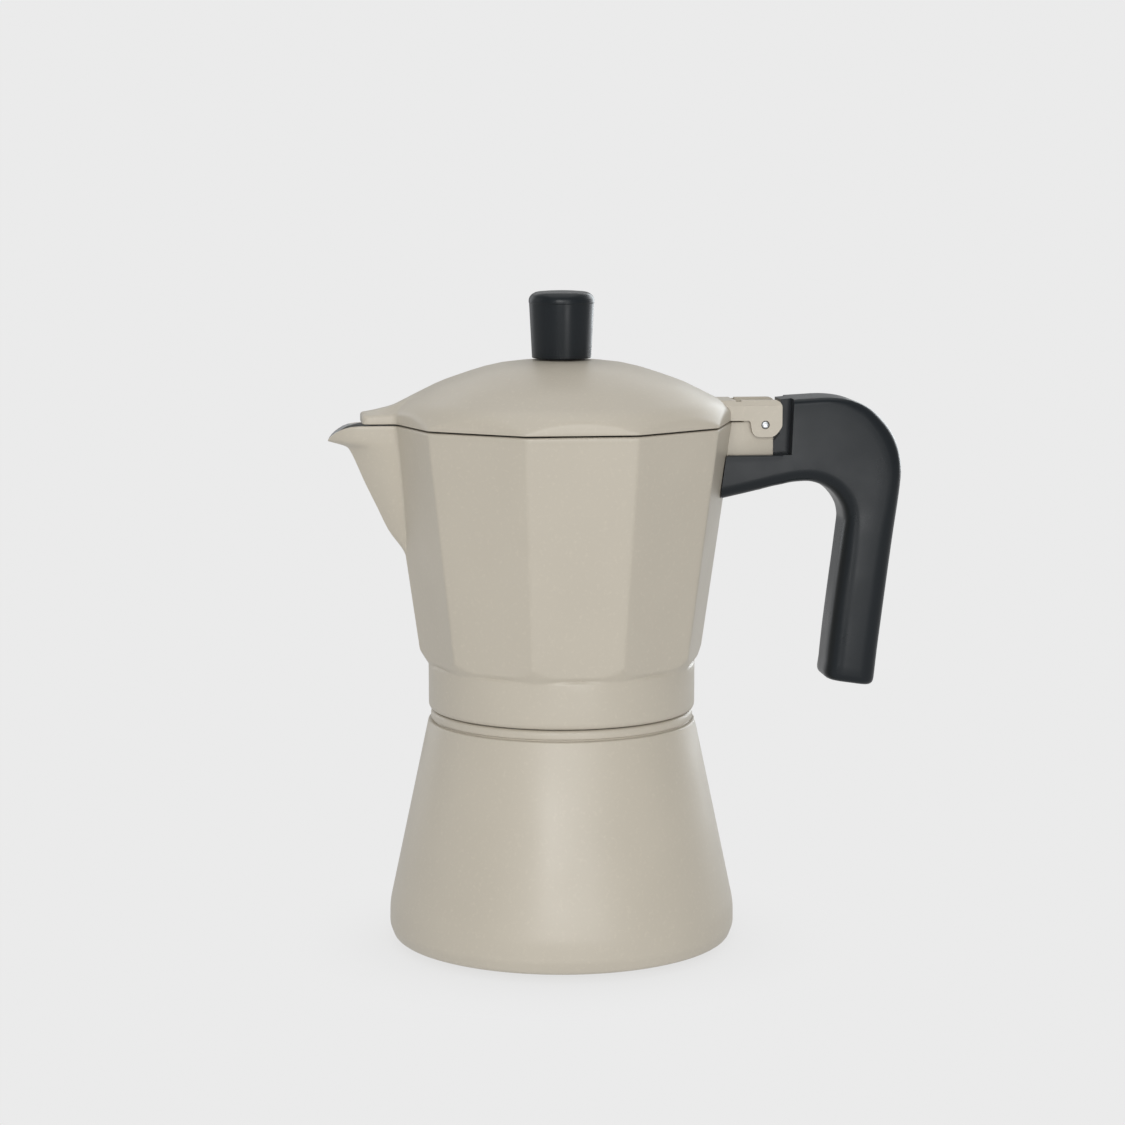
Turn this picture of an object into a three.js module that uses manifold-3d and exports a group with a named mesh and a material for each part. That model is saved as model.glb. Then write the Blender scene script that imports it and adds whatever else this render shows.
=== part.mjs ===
// Moka pot: a stovetop coffee maker of cast aluminium with plastic knob and handle.
// Millimetres, +Z up, origin on the pot's axis at the foot. The handle points to +X and
// the spout to -X. The collector screws onto the boiler's neck by a right-hand thread.
import * as THREE from 'three';
import { mergeVertices } from 'three/addons/utils/BufferGeometryUtils.js';
import Module from 'manifold-3d';

const wasm = await Module();
wasm.setup();

// Driving dimensions

const GAP = 0.3; // between two pieces that touch
const SLIP = 0.15; // between a shaft and its hole
const FACETS = 10; // sides of the collector and the lid
const ROUND = 40; // steps round the big turned shapes, a multiple of the facets
const SMALL = 20; // steps round the small turned shapes

const WALL = 3; // cast wall of the boiler and the collector
const BASE_RADIUS = 53.4; // widest part of the boiler
const BASE_HEIGHT = 9.5; // height of that widest part
const FOOT_STEP = 8.4; // from the widest part in to the flat disc the pot stands on
const CONE_STEP = 1.4; // from the widest part in to the start of the straight cone
const CONE_HEIGHT = 19; // where the straight cone begins
const SHOULDER_HEIGHT = 69.6; // top of the cone
const BEAD_HEIGHT = 2.8; // rounded bead between the cone and the collar

const NECK_RADIUS = 36.6; // root of the boiler's thread
const NECK_WALL = 3.4;
const NECK_LEAD = 0.925; // plain neck above the thread
const THREAD_LIFT = 2.6; // plain neck below the thread
const THREAD_PITCH = 3.5;
const THREAD_DEPTH = 1.1;
const THREAD_TURNS = 1.75;
const THREAD_RUN = 1.15; // half the width of a thread at its root
const THREAD_PLAY = 0.55; // crest of one thread to the root of the other
const COLLAR_SEAM = 1; // open groove between the bead and the collar
const COLLAR_WALL = 2.7; // outside the root of the collar's thread

const VALVE_DROP = 23.6; // valve's axis below the shoulder
const VALVE_BORE = 4.6;
const VALVE_BOSS = 8.5;
const VALVE_HEX = 7;
const VALVE_CHAMBER = 3.1;

const BASKET_ROOM = 2.2; // between the basket and the neck's bore
const BASKET_DEPTH = 24;
const SHEET = 1; // aluminium sheet of the funnel and the filter plate
const TUBE_RADIUS = 4.5;
const TUBE_END = 9; // height of the tube's open end above the foot
const SCREEN_HOLE = 0.9;
const GASKET_HEIGHT = 2.8;
const GASKET_WIDTH = 6.4;
const FILTER_HOLE = 0.9;

const RIM_HEIGHT = 161.3; // top of the collector
const RIM_RADIUS = 53.6; // to a vertex of the ten sides
const BODY_STEP = 3.25; // vertices of the ten sides outside the collar, where the facets begin
const EDGE_ROUNDING = 0.35; // taken off the vertices
const FLOOR = 3;
const COLUMN_RADIUS = 8.5;
const COLUMN_TOP_RADIUS = 6;
const COLUMN_BORE = 3;
const COLUMN_TOP = 20; // below the rim

const SPOUT_REACH = 17.7; // tip beyond the vertex of the rim
const SPOUT_TIP_DROP = 4.4; // tip below the rim
const SPOUT_ROOT_DROP = 40; // where the keel leaves the body, below the rim
const SPOUT_HALF = 7.8; // half width at the rim
const SPOUT_WALL = 1.6;

const LID_SEAM = 0.5; // lid above the rim
const LID_WALL = 2;
const LID_RISE = 18.8; // of the dome above the lid's edge
const TONGUE_REACH = 7.5; // beyond the vertex of the rim
const TONGUE_HALF = 7.7;

const PIN_REACH = 8; // pin beyond the vertex of the rim
const PIN_DROP = 0.85; // pin below the rim
const PIN_RADIUS = 1.15;
const LUG_HALF = 6.5;
const LUG_KNUCKLE = 5; // radius of the lug round the pin
const LUG_DROP = 15.8; // bottom of the lug below the rim
const EAR_WALL = 1.7;
const EAR_BACK = 5.2; // rear edge of the ears behind the pin
const NOSE_HALF = 4.7; // half the handle's nose, which stands between the ears of the open lid
const LID_SWING = 95; // degrees that the lid opens

const KNOB_HEIGHT = 20.4;
const KNOB_RADIUS = 10;
const KNOB_FOOT = 9;
const INSERT_RADIUS = 3.4;
const INSERT_LENGTH = 11;
const KNOB_THREAD = 2;

const GRIP_HALF = 9.75; // half the handle's thickness
const GRIP_BEVEL = 2.2;
const HANDLE_SCREW = 2.5;

// Heights and radii that follow from them

const beadTop = SHOULDER_HEIGHT + BEAD_HEIGHT;
const threadStart = beadTop + THREAD_LIFT;
const neckTop = threadStart + THREAD_TURNS * THREAD_PITCH + THREAD_RUN + NECK_LEAD;
const neckBore = NECK_RADIUS - NECK_WALL;
const collarBottom = beadTop + COLLAR_SEAM;
const collarRoot = NECK_RADIUS + THREAD_DEPTH + THREAD_PLAY;
const collarCrest = collarRoot - THREAD_DEPTH;
const collarRadius = collarRoot + COLLAR_WALL;
const shoulderRadius = collarRadius + 0.05;
const coneRadius = BASE_RADIUS - CONE_STEP;
const basketRadius = neckBore - BASKET_ROOM;
const funnelRim = neckTop + GAP;
const gasketBottom = funnelRim + SHEET + GAP;
const filterBottom = gasketBottom + GASKET_HEIGHT + GAP;
const floorBottom = filterBottom + SHEET + GAP;
const floorTop = floorBottom + FLOOR;
const lidEdge = RIM_HEIGHT + LID_SEAM;
const domeTop = lidEdge + LID_RISE;
const pinX = RIM_RADIUS + PIN_REACH;
const pinHeight = RIM_HEIGHT - PIN_DROP;
const channelTop = pinHeight + LUG_KNUCKLE + GAP;
const tabTop = channelTop + LID_WALL;
const valveHeight = SHOULDER_HEIGHT - VALVE_DROP;
const earInner = LUG_HALF + GAP;
const earOuter = earInner + EAR_WALL;

// Solids

const COLOURS = {
  coat: [0xbab3a2, 0.5, 0.15],
  plastic: [0x2b2d2f, 0.5, 0],
  brass: [0xb59a55, 0.35, 1],
  steel: [0xc4c6c8, 0.3, 1],
  aluminium: [0xb8babc, 0.4, 1],
  rubber: [0xd9d6cc, 0.7, 0],
};

function solid(geometry) {
  const bare = geometry.clone();
  bare.deleteAttribute('normal');
  bare.deleteAttribute('uv');
  const merged = mergeVertices(bare, 1e-4);
  const corners = merged.index.array;
  const kept = [];
  for (let i = 0; i < corners.length; i += 3) {
    const [a, b, c] = [corners[i], corners[i + 1], corners[i + 2]];
    if (a !== b && b !== c && c !== a) kept.push(a, b, c);
  }
  const vertProperties = new Float32Array(merged.attributes.position.array);
  const facing = new wasm.Manifold(
    new wasm.Mesh({ numProp: 3, vertProperties, triVerts: new Uint32Array(kept) }),
  );
  if (facing.volume() > 0) return facing;
  return new wasm.Manifold(
    new wasm.Mesh({ numProp: 3, vertProperties, triVerts: new Uint32Array(kept.reverse()) }),
  );
}

function geometryOf(body) {
  const mesh = body.getMesh();
  const geometry = new THREE.BufferGeometry();
  const positions = new Float32Array(mesh.numVert * 3);
  for (let i = 0; i < mesh.numVert; i++) {
    for (let k = 0; k < 3; k++) positions[3 * i + k] = mesh.vertProperties[mesh.numProp * i + k];
  }
  geometry.setAttribute('position', new THREE.BufferAttribute(positions, 3));
  geometry.setIndex(new THREE.BufferAttribute(new Uint32Array(mesh.triVerts), 1));
  return geometry;
}

function joined(first, ...others) {
  return geometryOf(others.reduce((body, other) => body.add(solid(other)), solid(first)));
}

function cut(first, ...tools) {
  return geometryOf(tools.reduce((body, tool) => body.subtract(solid(tool)), solid(first)));
}

function common(first, second) {
  return geometryOf(solid(first).intersect(solid(second)));
}

const points = (pairs) => pairs.map(([x, y]) => new THREE.Vector2(x, y));

// A profile of [radius, height] pairs turned about the vertical axis.
function turned(profile, steps = ROUND) {
  return new THREE.LatheGeometry(points(profile), steps).rotateX(Math.PI / 2);
}

// An outline of [x, z] pairs, from y = -half to y = +half.
function slab(outline, half) {
  const shape = new THREE.Shape(points(outline));
  const options = { depth: 2 * half, bevelEnabled: false };
  return new THREE.ExtrudeGeometry(shape, options).translate(0, 0, -half).rotateX(Math.PI / 2);
}

function cylinder(radius, bottom, top, steps = SMALL) {
  return turned([[0, bottom], [radius, bottom], [radius, top], [0, top]], steps);
}

// Turns a body whose axis is Z so that it points along +Y, and sets it at x, z.
function along(body, x, z) {
  return body.rotateX(-Math.PI / 2).translate(x, 0, z);
}

function block(x0, x1, half, z0, z1) {
  return slab([[x0, z0], [x1, z0], [x1, z1], [x0, z1]], half);
}

// Ten-sided frustum with a vertex on the X axis.
function decagon(bottomRadius, topRadius, bottom, top) {
  const geometry = new THREE.CylinderGeometry(topRadius, bottomRadius, top - bottom, FACETS);
  geometry.rotateY(Math.PI / 2).rotateX(Math.PI / 2);
  return geometry.translate(0, 0, (top + bottom) / 2);
}

// Rings of points, each ring as long as the next, joined into a closed skin.
function lofted(rings) {
  const count = rings[0].length;
  const positions = rings.flat().flatMap((p) => [p.x, p.y, p.z]);
  const faces = [];
  for (let r = 0; r + 1 < rings.length; r++) {
    for (let i = 0; i < count; i++) {
      const [a, b] = [r * count + i, r * count + ((i + 1) % count)];
      faces.push(a, b, b + count, a, b + count, a + count);
    }
  }
  for (const [first, flip] of [[0, true], [(rings.length - 1) * count, false]]) {
    for (let i = 1; i + 1 < count; i++) {
      if (flip) faces.push(first, first + i + 1, first + i);
      else faces.push(first, first + i, first + i + 1);
    }
  }
  const geometry = new THREE.BufferGeometry();
  geometry.setAttribute('position', new THREE.Float32BufferAttribute(positions, 3));
  geometry.setIndex(faces);
  return geometry;
}

// A helical ridge that starts and ends in a taper. direction +1 stands outwards.
function thread(root, bottom, direction) {
  const steps = Math.round(THREAD_TURNS * 20);
  const buried = 0.6;
  const rings = [];
  for (let i = 0; i <= steps; i++) {
    const turn = (i / steps) * THREAD_TURNS;
    const fade = Math.min(1, 0.12 + 5 * Math.min(turn, THREAD_TURNS - turn));
    const angle = turn * 2 * Math.PI;
    const z = bottom + turn * THREAD_PITCH;
    const crest = root + direction * THREAD_DEPTH * fade;
    const inside = root - direction * buried;
    const outline = [
      [inside, z - THREAD_RUN], [root, z - THREAD_RUN], [crest, z - THREAD_RUN / 2],
      [crest, z + THREAD_RUN / 2], [root, z + THREAD_RUN], [inside, z + THREAD_RUN],
    ];
    rings.push(outline.map(([r, h]) => new THREE.Vector3(r * Math.cos(angle), r * Math.sin(angle), h)));
  }
  return lofted(rings);
}

const pot = new THREE.Group();
pot.name = 'moka_pot';

function add(name, body, finish) {
  const [color, roughness, metalness] = COLOURS[finish];
  const material = new THREE.MeshStandardMaterial({ color, roughness, metalness });
  const geometry = geometryOf(solid(body));
  geometry.computeVertexNormals();
  const mesh = new THREE.Mesh(geometry, material);
  mesh.name = name;
  pot.add(mesh);
}

// Boiler

const coneSlope = (coneRadius - shoulderRadius) / (SHOULDER_HEIGHT - CONE_HEIGHT);
const coneRadiusAt = (z) => shoulderRadius + coneSlope * (SHOULDER_HEIGHT - z);

function boilerShell() {
  const foot = new THREE.CubicBezierCurve(
    new THREE.Vector2(BASE_RADIUS - FOOT_STEP, 0), new THREE.Vector2(BASE_RADIUS - 1.6, 0),
    new THREE.Vector2(BASE_RADIUS, 0.3 * BASE_HEIGHT), new THREE.Vector2(BASE_RADIUS, BASE_HEIGHT),
  );
  const flare = new THREE.QuadraticBezierCurve(
    new THREE.Vector2(BASE_RADIUS, BASE_HEIGHT),
    new THREE.Vector2(BASE_RADIUS, Math.max(BASE_HEIGHT + 1, CONE_HEIGHT - CONE_STEP / coneSlope)),
    new THREE.Vector2(coneRadius, CONE_HEIGHT),
  );
  const outer = [...foot.getPoints(4), ...flare.getPoints(2).slice(1)].map((p) => [p.x, p.y]);
  const crease = shoulderRadius - 0.8;
  return [
    [0, 0], ...outer,
    [shoulderRadius, SHOULDER_HEIGHT - 0.3], [shoulderRadius - 0.3, SHOULDER_HEIGHT + 0.3],
    [crease, SHOULDER_HEIGHT + 0.7], [crease, SHOULDER_HEIGHT + 1.5],
    [crease - 0.5, beadTop - 0.4], [crease - 1.3, beadTop],
    [NECK_RADIUS, beadTop], [NECK_RADIUS, neckTop - 0.5], [NECK_RADIUS - 0.5, neckTop],
    [neckBore, neckTop], [neckBore, SHOULDER_HEIGHT],
    [coneRadiusAt(SHOULDER_HEIGHT - 5) - WALL, SHOULDER_HEIGHT - 5],
    [coneRadius - WALL, CONE_HEIGHT], [BASE_RADIUS - WALL, BASE_HEIGHT + 1],
    [BASE_RADIUS - WALL - 1.4, WALL + 2.2], [BASE_RADIUS - FOOT_STEP, WALL + 0.5], [0, WALL + 0.5],
  ];
}

const bossFace = coneRadiusAt(valveHeight) + 2.4;

function boiler() {
  const bossRoot = coneRadiusAt(valveHeight + VALVE_BOSS) - WALL - 1;
  const boss = along(cylinder(VALVE_BOSS, bossRoot, bossFace), 0, valveHeight);
  const bore = along(cylinder(VALVE_BORE, bossRoot - 5, bossFace + 5), 0, valveHeight);
  return cut(joined(turned(boilerShell()), thread(NECK_RADIUS, threadStart, 1), boss), bore);
}

add('boiler', boiler(), 'coat');

// Safety valve, its axis along +Y through the boss

const washerThickness = 1;
const hexStart = bossFace + washerThickness + 2 * GAP;
const hexEnd = hexStart + 5;
const valveEnd = hexEnd + 3.2;
const chamberStart = bossFace - 6.5;
const pistonLength = 2.6;
const springStart = chamberStart + GAP + pistonLength + SLIP;
const springTurns = 5;
const wire = 0.28;
const plugLength = 2.6;
const plugStart = valveEnd - plugLength;

function valveBody() {
  const shank = VALVE_BORE - SLIP;
  const inner = chamberStart - 3;
  const tip = VALVE_HEX - 1.6;
  const outer = turned([
    [0, inner], [shank, inner], [shank, hexStart], [tip, hexStart], [tip, valveEnd - 0.8],
    [tip - 0.8, valveEnd], [0, valveEnd],
  ], SMALL);
  const hexCorner = VALVE_HEX / Math.cos(Math.PI / 6);
  const hex = cylinder(hexCorner, hexStart, hexEnd, 6);
  const orifice = cylinder(1.4, inner - 1, chamberStart + 1, 12);
  const chamber = cylinder(VALVE_CHAMBER, chamberStart, valveEnd + 1);
  return along(cut(joined(outer, hex), orifice, chamber), 0, valveHeight);
}

function valvePiston() {
  const start = chamberStart + GAP;
  const disc = VALVE_CHAMBER - SLIP - 0.1;
  const stem = 0.75;
  return along(turned([
    [0, start], [disc - 0.6, start], [disc, start + 0.6], [disc, start + pistonLength],
    [stem, start + pistonLength], [stem, valveEnd + 0.6], [0, valveEnd + 0.6],
  ], SMALL), 0, valveHeight);
}

function valveSpring() {
  const radius = VALVE_CHAMBER - 3 * SLIP - wire;
  const length = plugStart - springStart - SLIP - 2 * wire;
  class Coil extends THREE.Curve {
    getPoint(t) {
      const angle = t * springTurns * 2 * Math.PI;
      return new THREE.Vector3(
        radius * Math.cos(angle), radius * Math.sin(angle), springStart + wire + t * length,
      );
    }
  }
  const section = new THREE.Shape().absarc(0, 0, wire, 0, 2 * Math.PI);
  const options = { steps: 10 * springTurns, curveSegments: 3, extrudePath: new Coil() };
  return along(new THREE.ExtrudeGeometry(section, options), 0, valveHeight);
}

function ring(outer, inner, bottom, top, steps = SMALL) {
  return turned([[inner, bottom], [outer, bottom], [outer, top], [inner, top], [inner, bottom]], steps);
}

add('valve_body', valveBody(), 'brass');
add('valve_washer', along(
  ring(VALVE_HEX, VALVE_BORE, bossFace + GAP, bossFace + GAP + washerThickness), 0, valveHeight,
), 'rubber');
add('valve_piston', valvePiston(), 'steel');
add('valve_spring', valveSpring(), 'steel');
add('valve_plug', along(
  ring(VALVE_CHAMBER - SLIP, 1.2, plugStart, valveEnd - 0.2), 0, valveHeight,
), 'brass');

// Coffee funnel

const basketTop = funnelRim + SHEET;
const basketBottom = basketTop - BASKET_DEPTH;
const coneBottom = basketBottom - 6;
const screenHeight = basketBottom + SHEET / 2;

function funnelBasket() {
  const rim = NECK_RADIUS - 1.4;
  const sleeve = TUBE_RADIUS + SLIP;
  const seat = basketRadius - 2.5;
  return turned([
    [sleeve, coneBottom - 5], [sleeve + SHEET, coneBottom - 5], [sleeve + SHEET, coneBottom],
    [seat, basketBottom - SHEET], [basketRadius - 1, basketBottom], [basketRadius, funnelRim - 1],
    [rim - 2, funnelRim], [rim, funnelRim], [rim, basketTop], [basketRadius - SHEET, basketTop],
    [basketRadius - 1 - SHEET, basketBottom + SHEET / 2], [seat - SHEET, basketBottom],
    [sleeve + 1, coneBottom + SHEET], [sleeve, coneBottom + SHEET], [sleeve, coneBottom - 5],
  ], 40);
}

// A round sheet with rings of holes: 6, 12, 18 holes and so on.
function perforated(radius, bottom, hole, holeRings, spacing) {
  const circle = (x, y, r, steps) => new THREE.EllipseCurve(x, y, r, r).getPoints(steps).slice(1);
  const sheet = new THREE.Shape(circle(0, 0, radius, 40));
  for (let ringIndex = 0; ringIndex <= holeRings; ringIndex++) {
    const count = Math.max(1, 6 * ringIndex);
    for (let i = 0; i < count; i++) {
      const angle = (i / count) * 2 * Math.PI;
      const at = ringIndex * spacing;
      sheet.holes.push(new THREE.Path(circle(at * Math.cos(angle), at * Math.sin(angle), hole, 6)));
    }
  }
  const options = { depth: SHEET, bevelEnabled: false };
  return new THREE.ExtrudeGeometry(sheet, options).translate(0, 0, bottom);
}

add('funnel_basket', funnelBasket(), 'aluminium');
add('funnel_tube', ring(TUBE_RADIUS, TUBE_RADIUS - SHEET, TUBE_END, coneBottom + 1.5), 'aluminium');
add('basket_screen', perforated(
  basketRadius - 2 - SHEET, screenHeight + GAP, SCREEN_HOLE, 2, 8,
), 'aluminium');

// Gasket and filter plate

const gasketOuter = collarRoot - GAP;
add('gasket', ring(gasketOuter, gasketOuter - GASKET_WIDTH, gasketBottom,
  gasketBottom + GASKET_HEIGHT, 40), 'rubber');
add('filter_plate', perforated(collarCrest - 2 * GAP, filterBottom, FILTER_HOLE, 3, 8), 'aluminium');

// Collector

const bodyFoot = collarBottom + 22;
const bodyTaper = (RIM_RADIUS - collarRadius - BODY_STEP) / (RIM_HEIGHT - bodyFoot);
const vertexRadiusAt = (z) => RIM_RADIUS - bodyTaper * (RIM_HEIGHT - z);

function facetedBody() {
  const bottom = collarBottom + 6;
  const prism = decagon(vertexRadiusAt(bottom), RIM_RADIUS, bottom, RIM_HEIGHT);
  const undercut = collarBottom + 14;
  const rounded = turned([
    [0, bottom], [collarRadius, undercut], [collarRadius + 1.4, undercut + 2],
    [collarRadius + 2.5, undercut + 4], [vertexRadiusAt(undercut + 8), undercut + 8],
    [RIM_RADIUS - EDGE_ROUNDING, RIM_HEIGHT - 1.2], [RIM_RADIUS - 1.2, RIM_HEIGHT], [0, RIM_HEIGHT],
  ], ROUND);
  return common(prism, rounded);
}

function collarSkin() {
  return turned([
    [0, collarBottom], [collarRadius - 1.6, collarBottom], [collarRadius - 0.5, collarBottom + 0.5],
    [collarRadius, collarBottom + 1.8], [collarRadius, floorTop], [0, floorTop],
  ]);
}

function collarHollow() {
  const mouth = collarRoot + 0.4;
  return turned([
    [0, collarBottom - 1], [mouth, collarBottom - 1], [mouth, collarBottom + 0.8],
    [collarRoot, collarBottom + 1.2], [collarRoot, floorBottom], [COLUMN_BORE + 3, floorBottom],
    [0, floorBottom],
  ]);
}

function column() {
  const top = RIM_HEIGHT - COLUMN_TOP;
  return turned([
    [0, floorBottom], [COLUMN_RADIUS, floorBottom], [COLUMN_TOP_RADIUS, top - 3],
    [COLUMN_TOP_RADIUS - 2, top], [0, top],
  ], SMALL);
}

function columnBore() {
  const top = RIM_HEIGHT - COLUMN_TOP;
  const bore = turned([
    [0, floorBottom - 1], [COLUMN_BORE + 3, floorBottom - 1], [COLUMN_BORE, floorBottom + 8],
    [COLUMN_BORE, top - 3], [0, top - 2],
  ], SMALL);
  const outlets = along(cylinder(1.6, -COLUMN_RADIUS, COLUMN_RADIUS, 12), 0, top - 6);
  return joined(bore, outlets);
}

const spoutTip = RIM_RADIUS + SPOUT_REACH;

// Half width of the spout at a height, from the keel's root up to the rim.
function spoutHalfAt(z, most) {
  const rise = (z - (RIM_HEIGHT - SPOUT_ROOT_DROP)) / SPOUT_ROOT_DROP;
  return most * Math.sin(Math.min(1, Math.max(0.02, rise)) * Math.PI * 0.5) ** 0.85;
}

// How far the spout's keel reaches out at a height.
function spoutReachAt(z) {
  const root = RIM_HEIGHT - SPOUT_ROOT_DROP;
  const beak = RIM_HEIGHT - 8.2;
  const body = vertexRadiusAt(root);
  const beakReach = spoutTip - 6.8;
  if (z <= beak) return body + ((z - root) / (beak - root)) * (beakReach - body);
  const tip = RIM_HEIGHT - SPOUT_TIP_DROP;
  if (z <= tip) return beakReach + ((z - beak) / (tip - beak)) ** 2 * (spoutTip - beakReach);
  return spoutTip;
}

// One level of the spout in plan: two straight sides that meet in a rounded nose.
function spoutRing(z, inset) {
  const half = spoutHalfAt(z, SPOUT_HALF) - inset;
  const reach = spoutReachAt(z) - 1.6 * inset;
  const nose = Math.min(16, 2.2 * half);
  const back = 30;
  const ringPoints = [[-back, -half]];
  const steps = 8;
  for (let i = 0; i <= steps; i++) {
    const angle = ((i / steps) - 0.5) * Math.PI;
    ringPoints.push([-(reach - nose + nose * Math.cos(angle)), half * Math.sin(angle)]);
  }
  ringPoints.push([-back, half]);
  return ringPoints.map(([x, y]) => new THREE.Vector3(x, y, z));
}

function spoutSkin() {
  const root = RIM_HEIGHT - SPOUT_ROOT_DROP;
  const levels = [0, 8, 16, 24, 31.8, 33, 34.2, 35.6, SPOUT_ROOT_DROP + 1];
  const skin = lofted(levels.map((h) => spoutRing(root + h, 0)));
  const lip = slab([
    [-spoutTip - 9, root - 5], [-20, root - 5], [-20, RIM_HEIGHT], [10 - spoutTip, RIM_HEIGHT],
    [6.9 - spoutTip, RIM_HEIGHT - 0.2], [4.6 - spoutTip, RIM_HEIGHT - 0.8],
    [2.3 - spoutTip, RIM_HEIGHT - 2.1], [-spoutTip, RIM_HEIGHT - SPOUT_TIP_DROP],
    [-spoutTip - 9, RIM_HEIGHT - SPOUT_TIP_DROP - 6],
  ], 30);
  return common(skin, lip);
}

function spoutChannel() {
  const root = RIM_HEIGHT - SPOUT_ROOT_DROP;
  const levels = [14, 20, 26, 31.8, 34.2, 36.5, 38.5, SPOUT_ROOT_DROP + 4];
  return lofted(levels.map((h) => spoutRing(root + h, SPOUT_WALL)));
}

function bowl() {
  const inset = WALL / Math.cos(Math.PI / FACETS);
  const bottom = floorTop;
  const prism = decagon(
    vertexRadiusAt(bottom) - inset, vertexRadiusAt(RIM_HEIGHT + 5) - inset, bottom, RIM_HEIGHT + 5,
  );
  const rounded = turned([
    [0, floorTop], [collarRadius - WALL - 4, floorTop], [collarRadius - WALL + 0.5, floorTop + 3],
    [vertexRadiusAt(floorTop + 10) - WALL, floorTop + 10], [RIM_RADIUS + 5, RIM_HEIGHT],
    [RIM_RADIUS + 5, RIM_HEIGHT + 5], [0, RIM_HEIGHT + 5],
  ], ROUND);
  return common(prism, rounded);
}

function lug() {
  const bottom = RIM_HEIGHT - LUG_DROP;
  const root = vertexRadiusAt(bottom) - WALL / 2;
  const base = slab([
    [root, bottom], [lugBack, bottom], [lugBack, RIM_HEIGHT - 5], [pinX, pinHeight],
    [root + 2, pinHeight],
  ], LUG_HALF);
  const knuckle = along(cylinder(LUG_KNUCKLE, -LUG_HALF, LUG_HALF), pinX, pinHeight);
  return joined(base, knuckle);
}

const lugBottom = RIM_HEIGHT - LUG_DROP;
const handleScrewX = pinX - 3.2;
const lugBack = pinX + 2.8;
const handleScrewDepth = 9;

function collector() {
  const pinHole = along(cylinder(PIN_RADIUS + SLIP, -LUG_HALF - 1, LUG_HALF + 1), pinX, pinHeight);
  const screwHole = cylinder(HANDLE_SCREW + SLIP, lugBottom - 1, lugBottom + handleScrewDepth, 16)
    .translate(handleScrewX, 0, 0);
  const casting = joined(collarSkin(), facetedBody(), spoutSkin(), lug());
  const shell = cut(casting, bowl(), spoutChannel(), collarHollow());
  const innerThread = thread(collarRoot, threadStart + THREAD_PITCH / 2, -1);
  return cut(joined(shell, innerThread, column()), columnBore(), pinHole, screwHole);
}

add('collector', collector(), 'coat');

// Lid

function domeProfile(inset) {
  const edge = RIM_RADIUS - EDGE_ROUNDING;
  const curve = new THREE.SplineCurve(points([
    [0, LID_RISE], [0.385 * edge, 0.93 * LID_RISE], [0.612 * edge, 0.735 * LID_RISE],
    [0.774 * edge, 0.543 * LID_RISE], [0.896 * edge, 0.367 * LID_RISE], [edge, 0.4],
  ]));
  const rim = curve.getPoints(10).map((p) => [
    Math.max(0, p.x - inset * p.x / edge), lidEdge + p.y - inset,
  ]);
  return [...rim, [edge - inset, lidEdge - inset], [0, lidEdge - inset]].reverse();
}

function dome(inset) {
  const vertex = RIM_RADIUS - inset / Math.cos(Math.PI / FACETS);
  const prism = decagon(vertex, vertex, lidEdge - inset, domeTop + 1);
  return common(turned(domeProfile(inset), ROUND), prism);
}

// The tongue that covers the spout's channel, or the hollow under it.
function tongue(inset) {
  const half = TONGUE_HALF - inset;
  const end = RIM_RADIUS + TONGUE_REACH - inset;
  const across = new THREE.Shape(points([
    [-half, 0], [half, 0], [half, 2.3 - inset / 2], [half - 2.6, 4.6 - inset],
    [2.6 - half, 4.6 - inset], [-half, 2.3 - inset / 2],
  ].map(([y, z]) => [y, z + lidEdge - (z === 0 ? inset : 0)])));
  const ridge = slab([
    [-end, lidEdge - inset], [-30, lidEdge - inset], [-30, lidEdge + 12 - inset],
    [9.7 - end, lidEdge + 5.2 - inset], [4.6 - end, lidEdge + 3.9 - inset],
    [0.6 - end, lidEdge + 3 - inset],
    [-end, lidEdge + 2.3 - inset],
  ], 30);
  const run = new THREE.ExtrudeGeometry(across, { depth: end, bevelEnabled: false });
  run.rotateX(Math.PI / 2).rotateZ(-Math.PI / 2);
  return common(run.translate(-20, 0, 0), ridge);
}

// The open lid straddles the handle's nose, whose top stands this far above the pin.
const noseRise = tabTop + 0.7 - pinHeight;
const swing = LID_SWING * Math.PI / 180;
const slotReach = (noseRise - (tabTop - pinHeight) * Math.cos(swing)) / Math.sin(swing) + GAP;

function hingeTab() {
  const root = RIM_RADIUS - 7.6;
  const outline = [
    [root, lidEdge], [pinX - 5.1, lidEdge], [pinX - 4.2, pinHeight - 0.6],
    [pinX - 2.3, pinHeight - 3.3], [pinX, pinHeight - 3.7], [pinX + 2.2, pinHeight - 3.3],
    [pinX + 4, pinHeight - 1.8], [pinX + EAR_BACK, pinHeight + 0.3], [pinX + EAR_BACK, tabTop - 2.2],
    [pinX + EAR_BACK - 2, tabTop], [root, tabTop],
  ];
  const tab = slab(outline, earOuter);
  const chamfer = 1.9;
  const across = new THREE.Shape(points([
    [-earOuter, 0], [earOuter, 0], [earOuter, tabTop - chamfer], [earOuter - chamfer, tabTop],
    [chamfer - earOuter, tabTop], [-earOuter, tabTop - chamfer],
  ]));
  const section = new THREE.ExtrudeGeometry(across, { depth: 60, bevelEnabled: false });
  section.rotateX(Math.PI / 2).rotateZ(Math.PI / 2);
  return common(tab, section.translate(pinX - 30, 0, 0));
}

function lid() {
  const channel = block(pinX - LUG_KNUCKLE - 1.5, pinX + 20, earInner, lidEdge - 20, channelTop);
  const noseSlot = block(pinX - slotReach, pinX + 20, NOSE_HALF + GAP, pinHeight + 3.5, tabTop + 5);
  const pinHole = along(cylinder(PIN_RADIUS + SLIP, -earOuter - 1, earOuter + 1), pinX, pinHeight);
  const screwHole = cylinder(KNOB_THREAD + SLIP, domeTop - 10, domeTop + 5, 16);
  const skin = joined(dome(0), tongue(0), hingeTab());
  return cut(skin, dome(LID_WALL), tongue(LID_WALL), channel, noseSlot, pinHole, screwHole);
}

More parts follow.
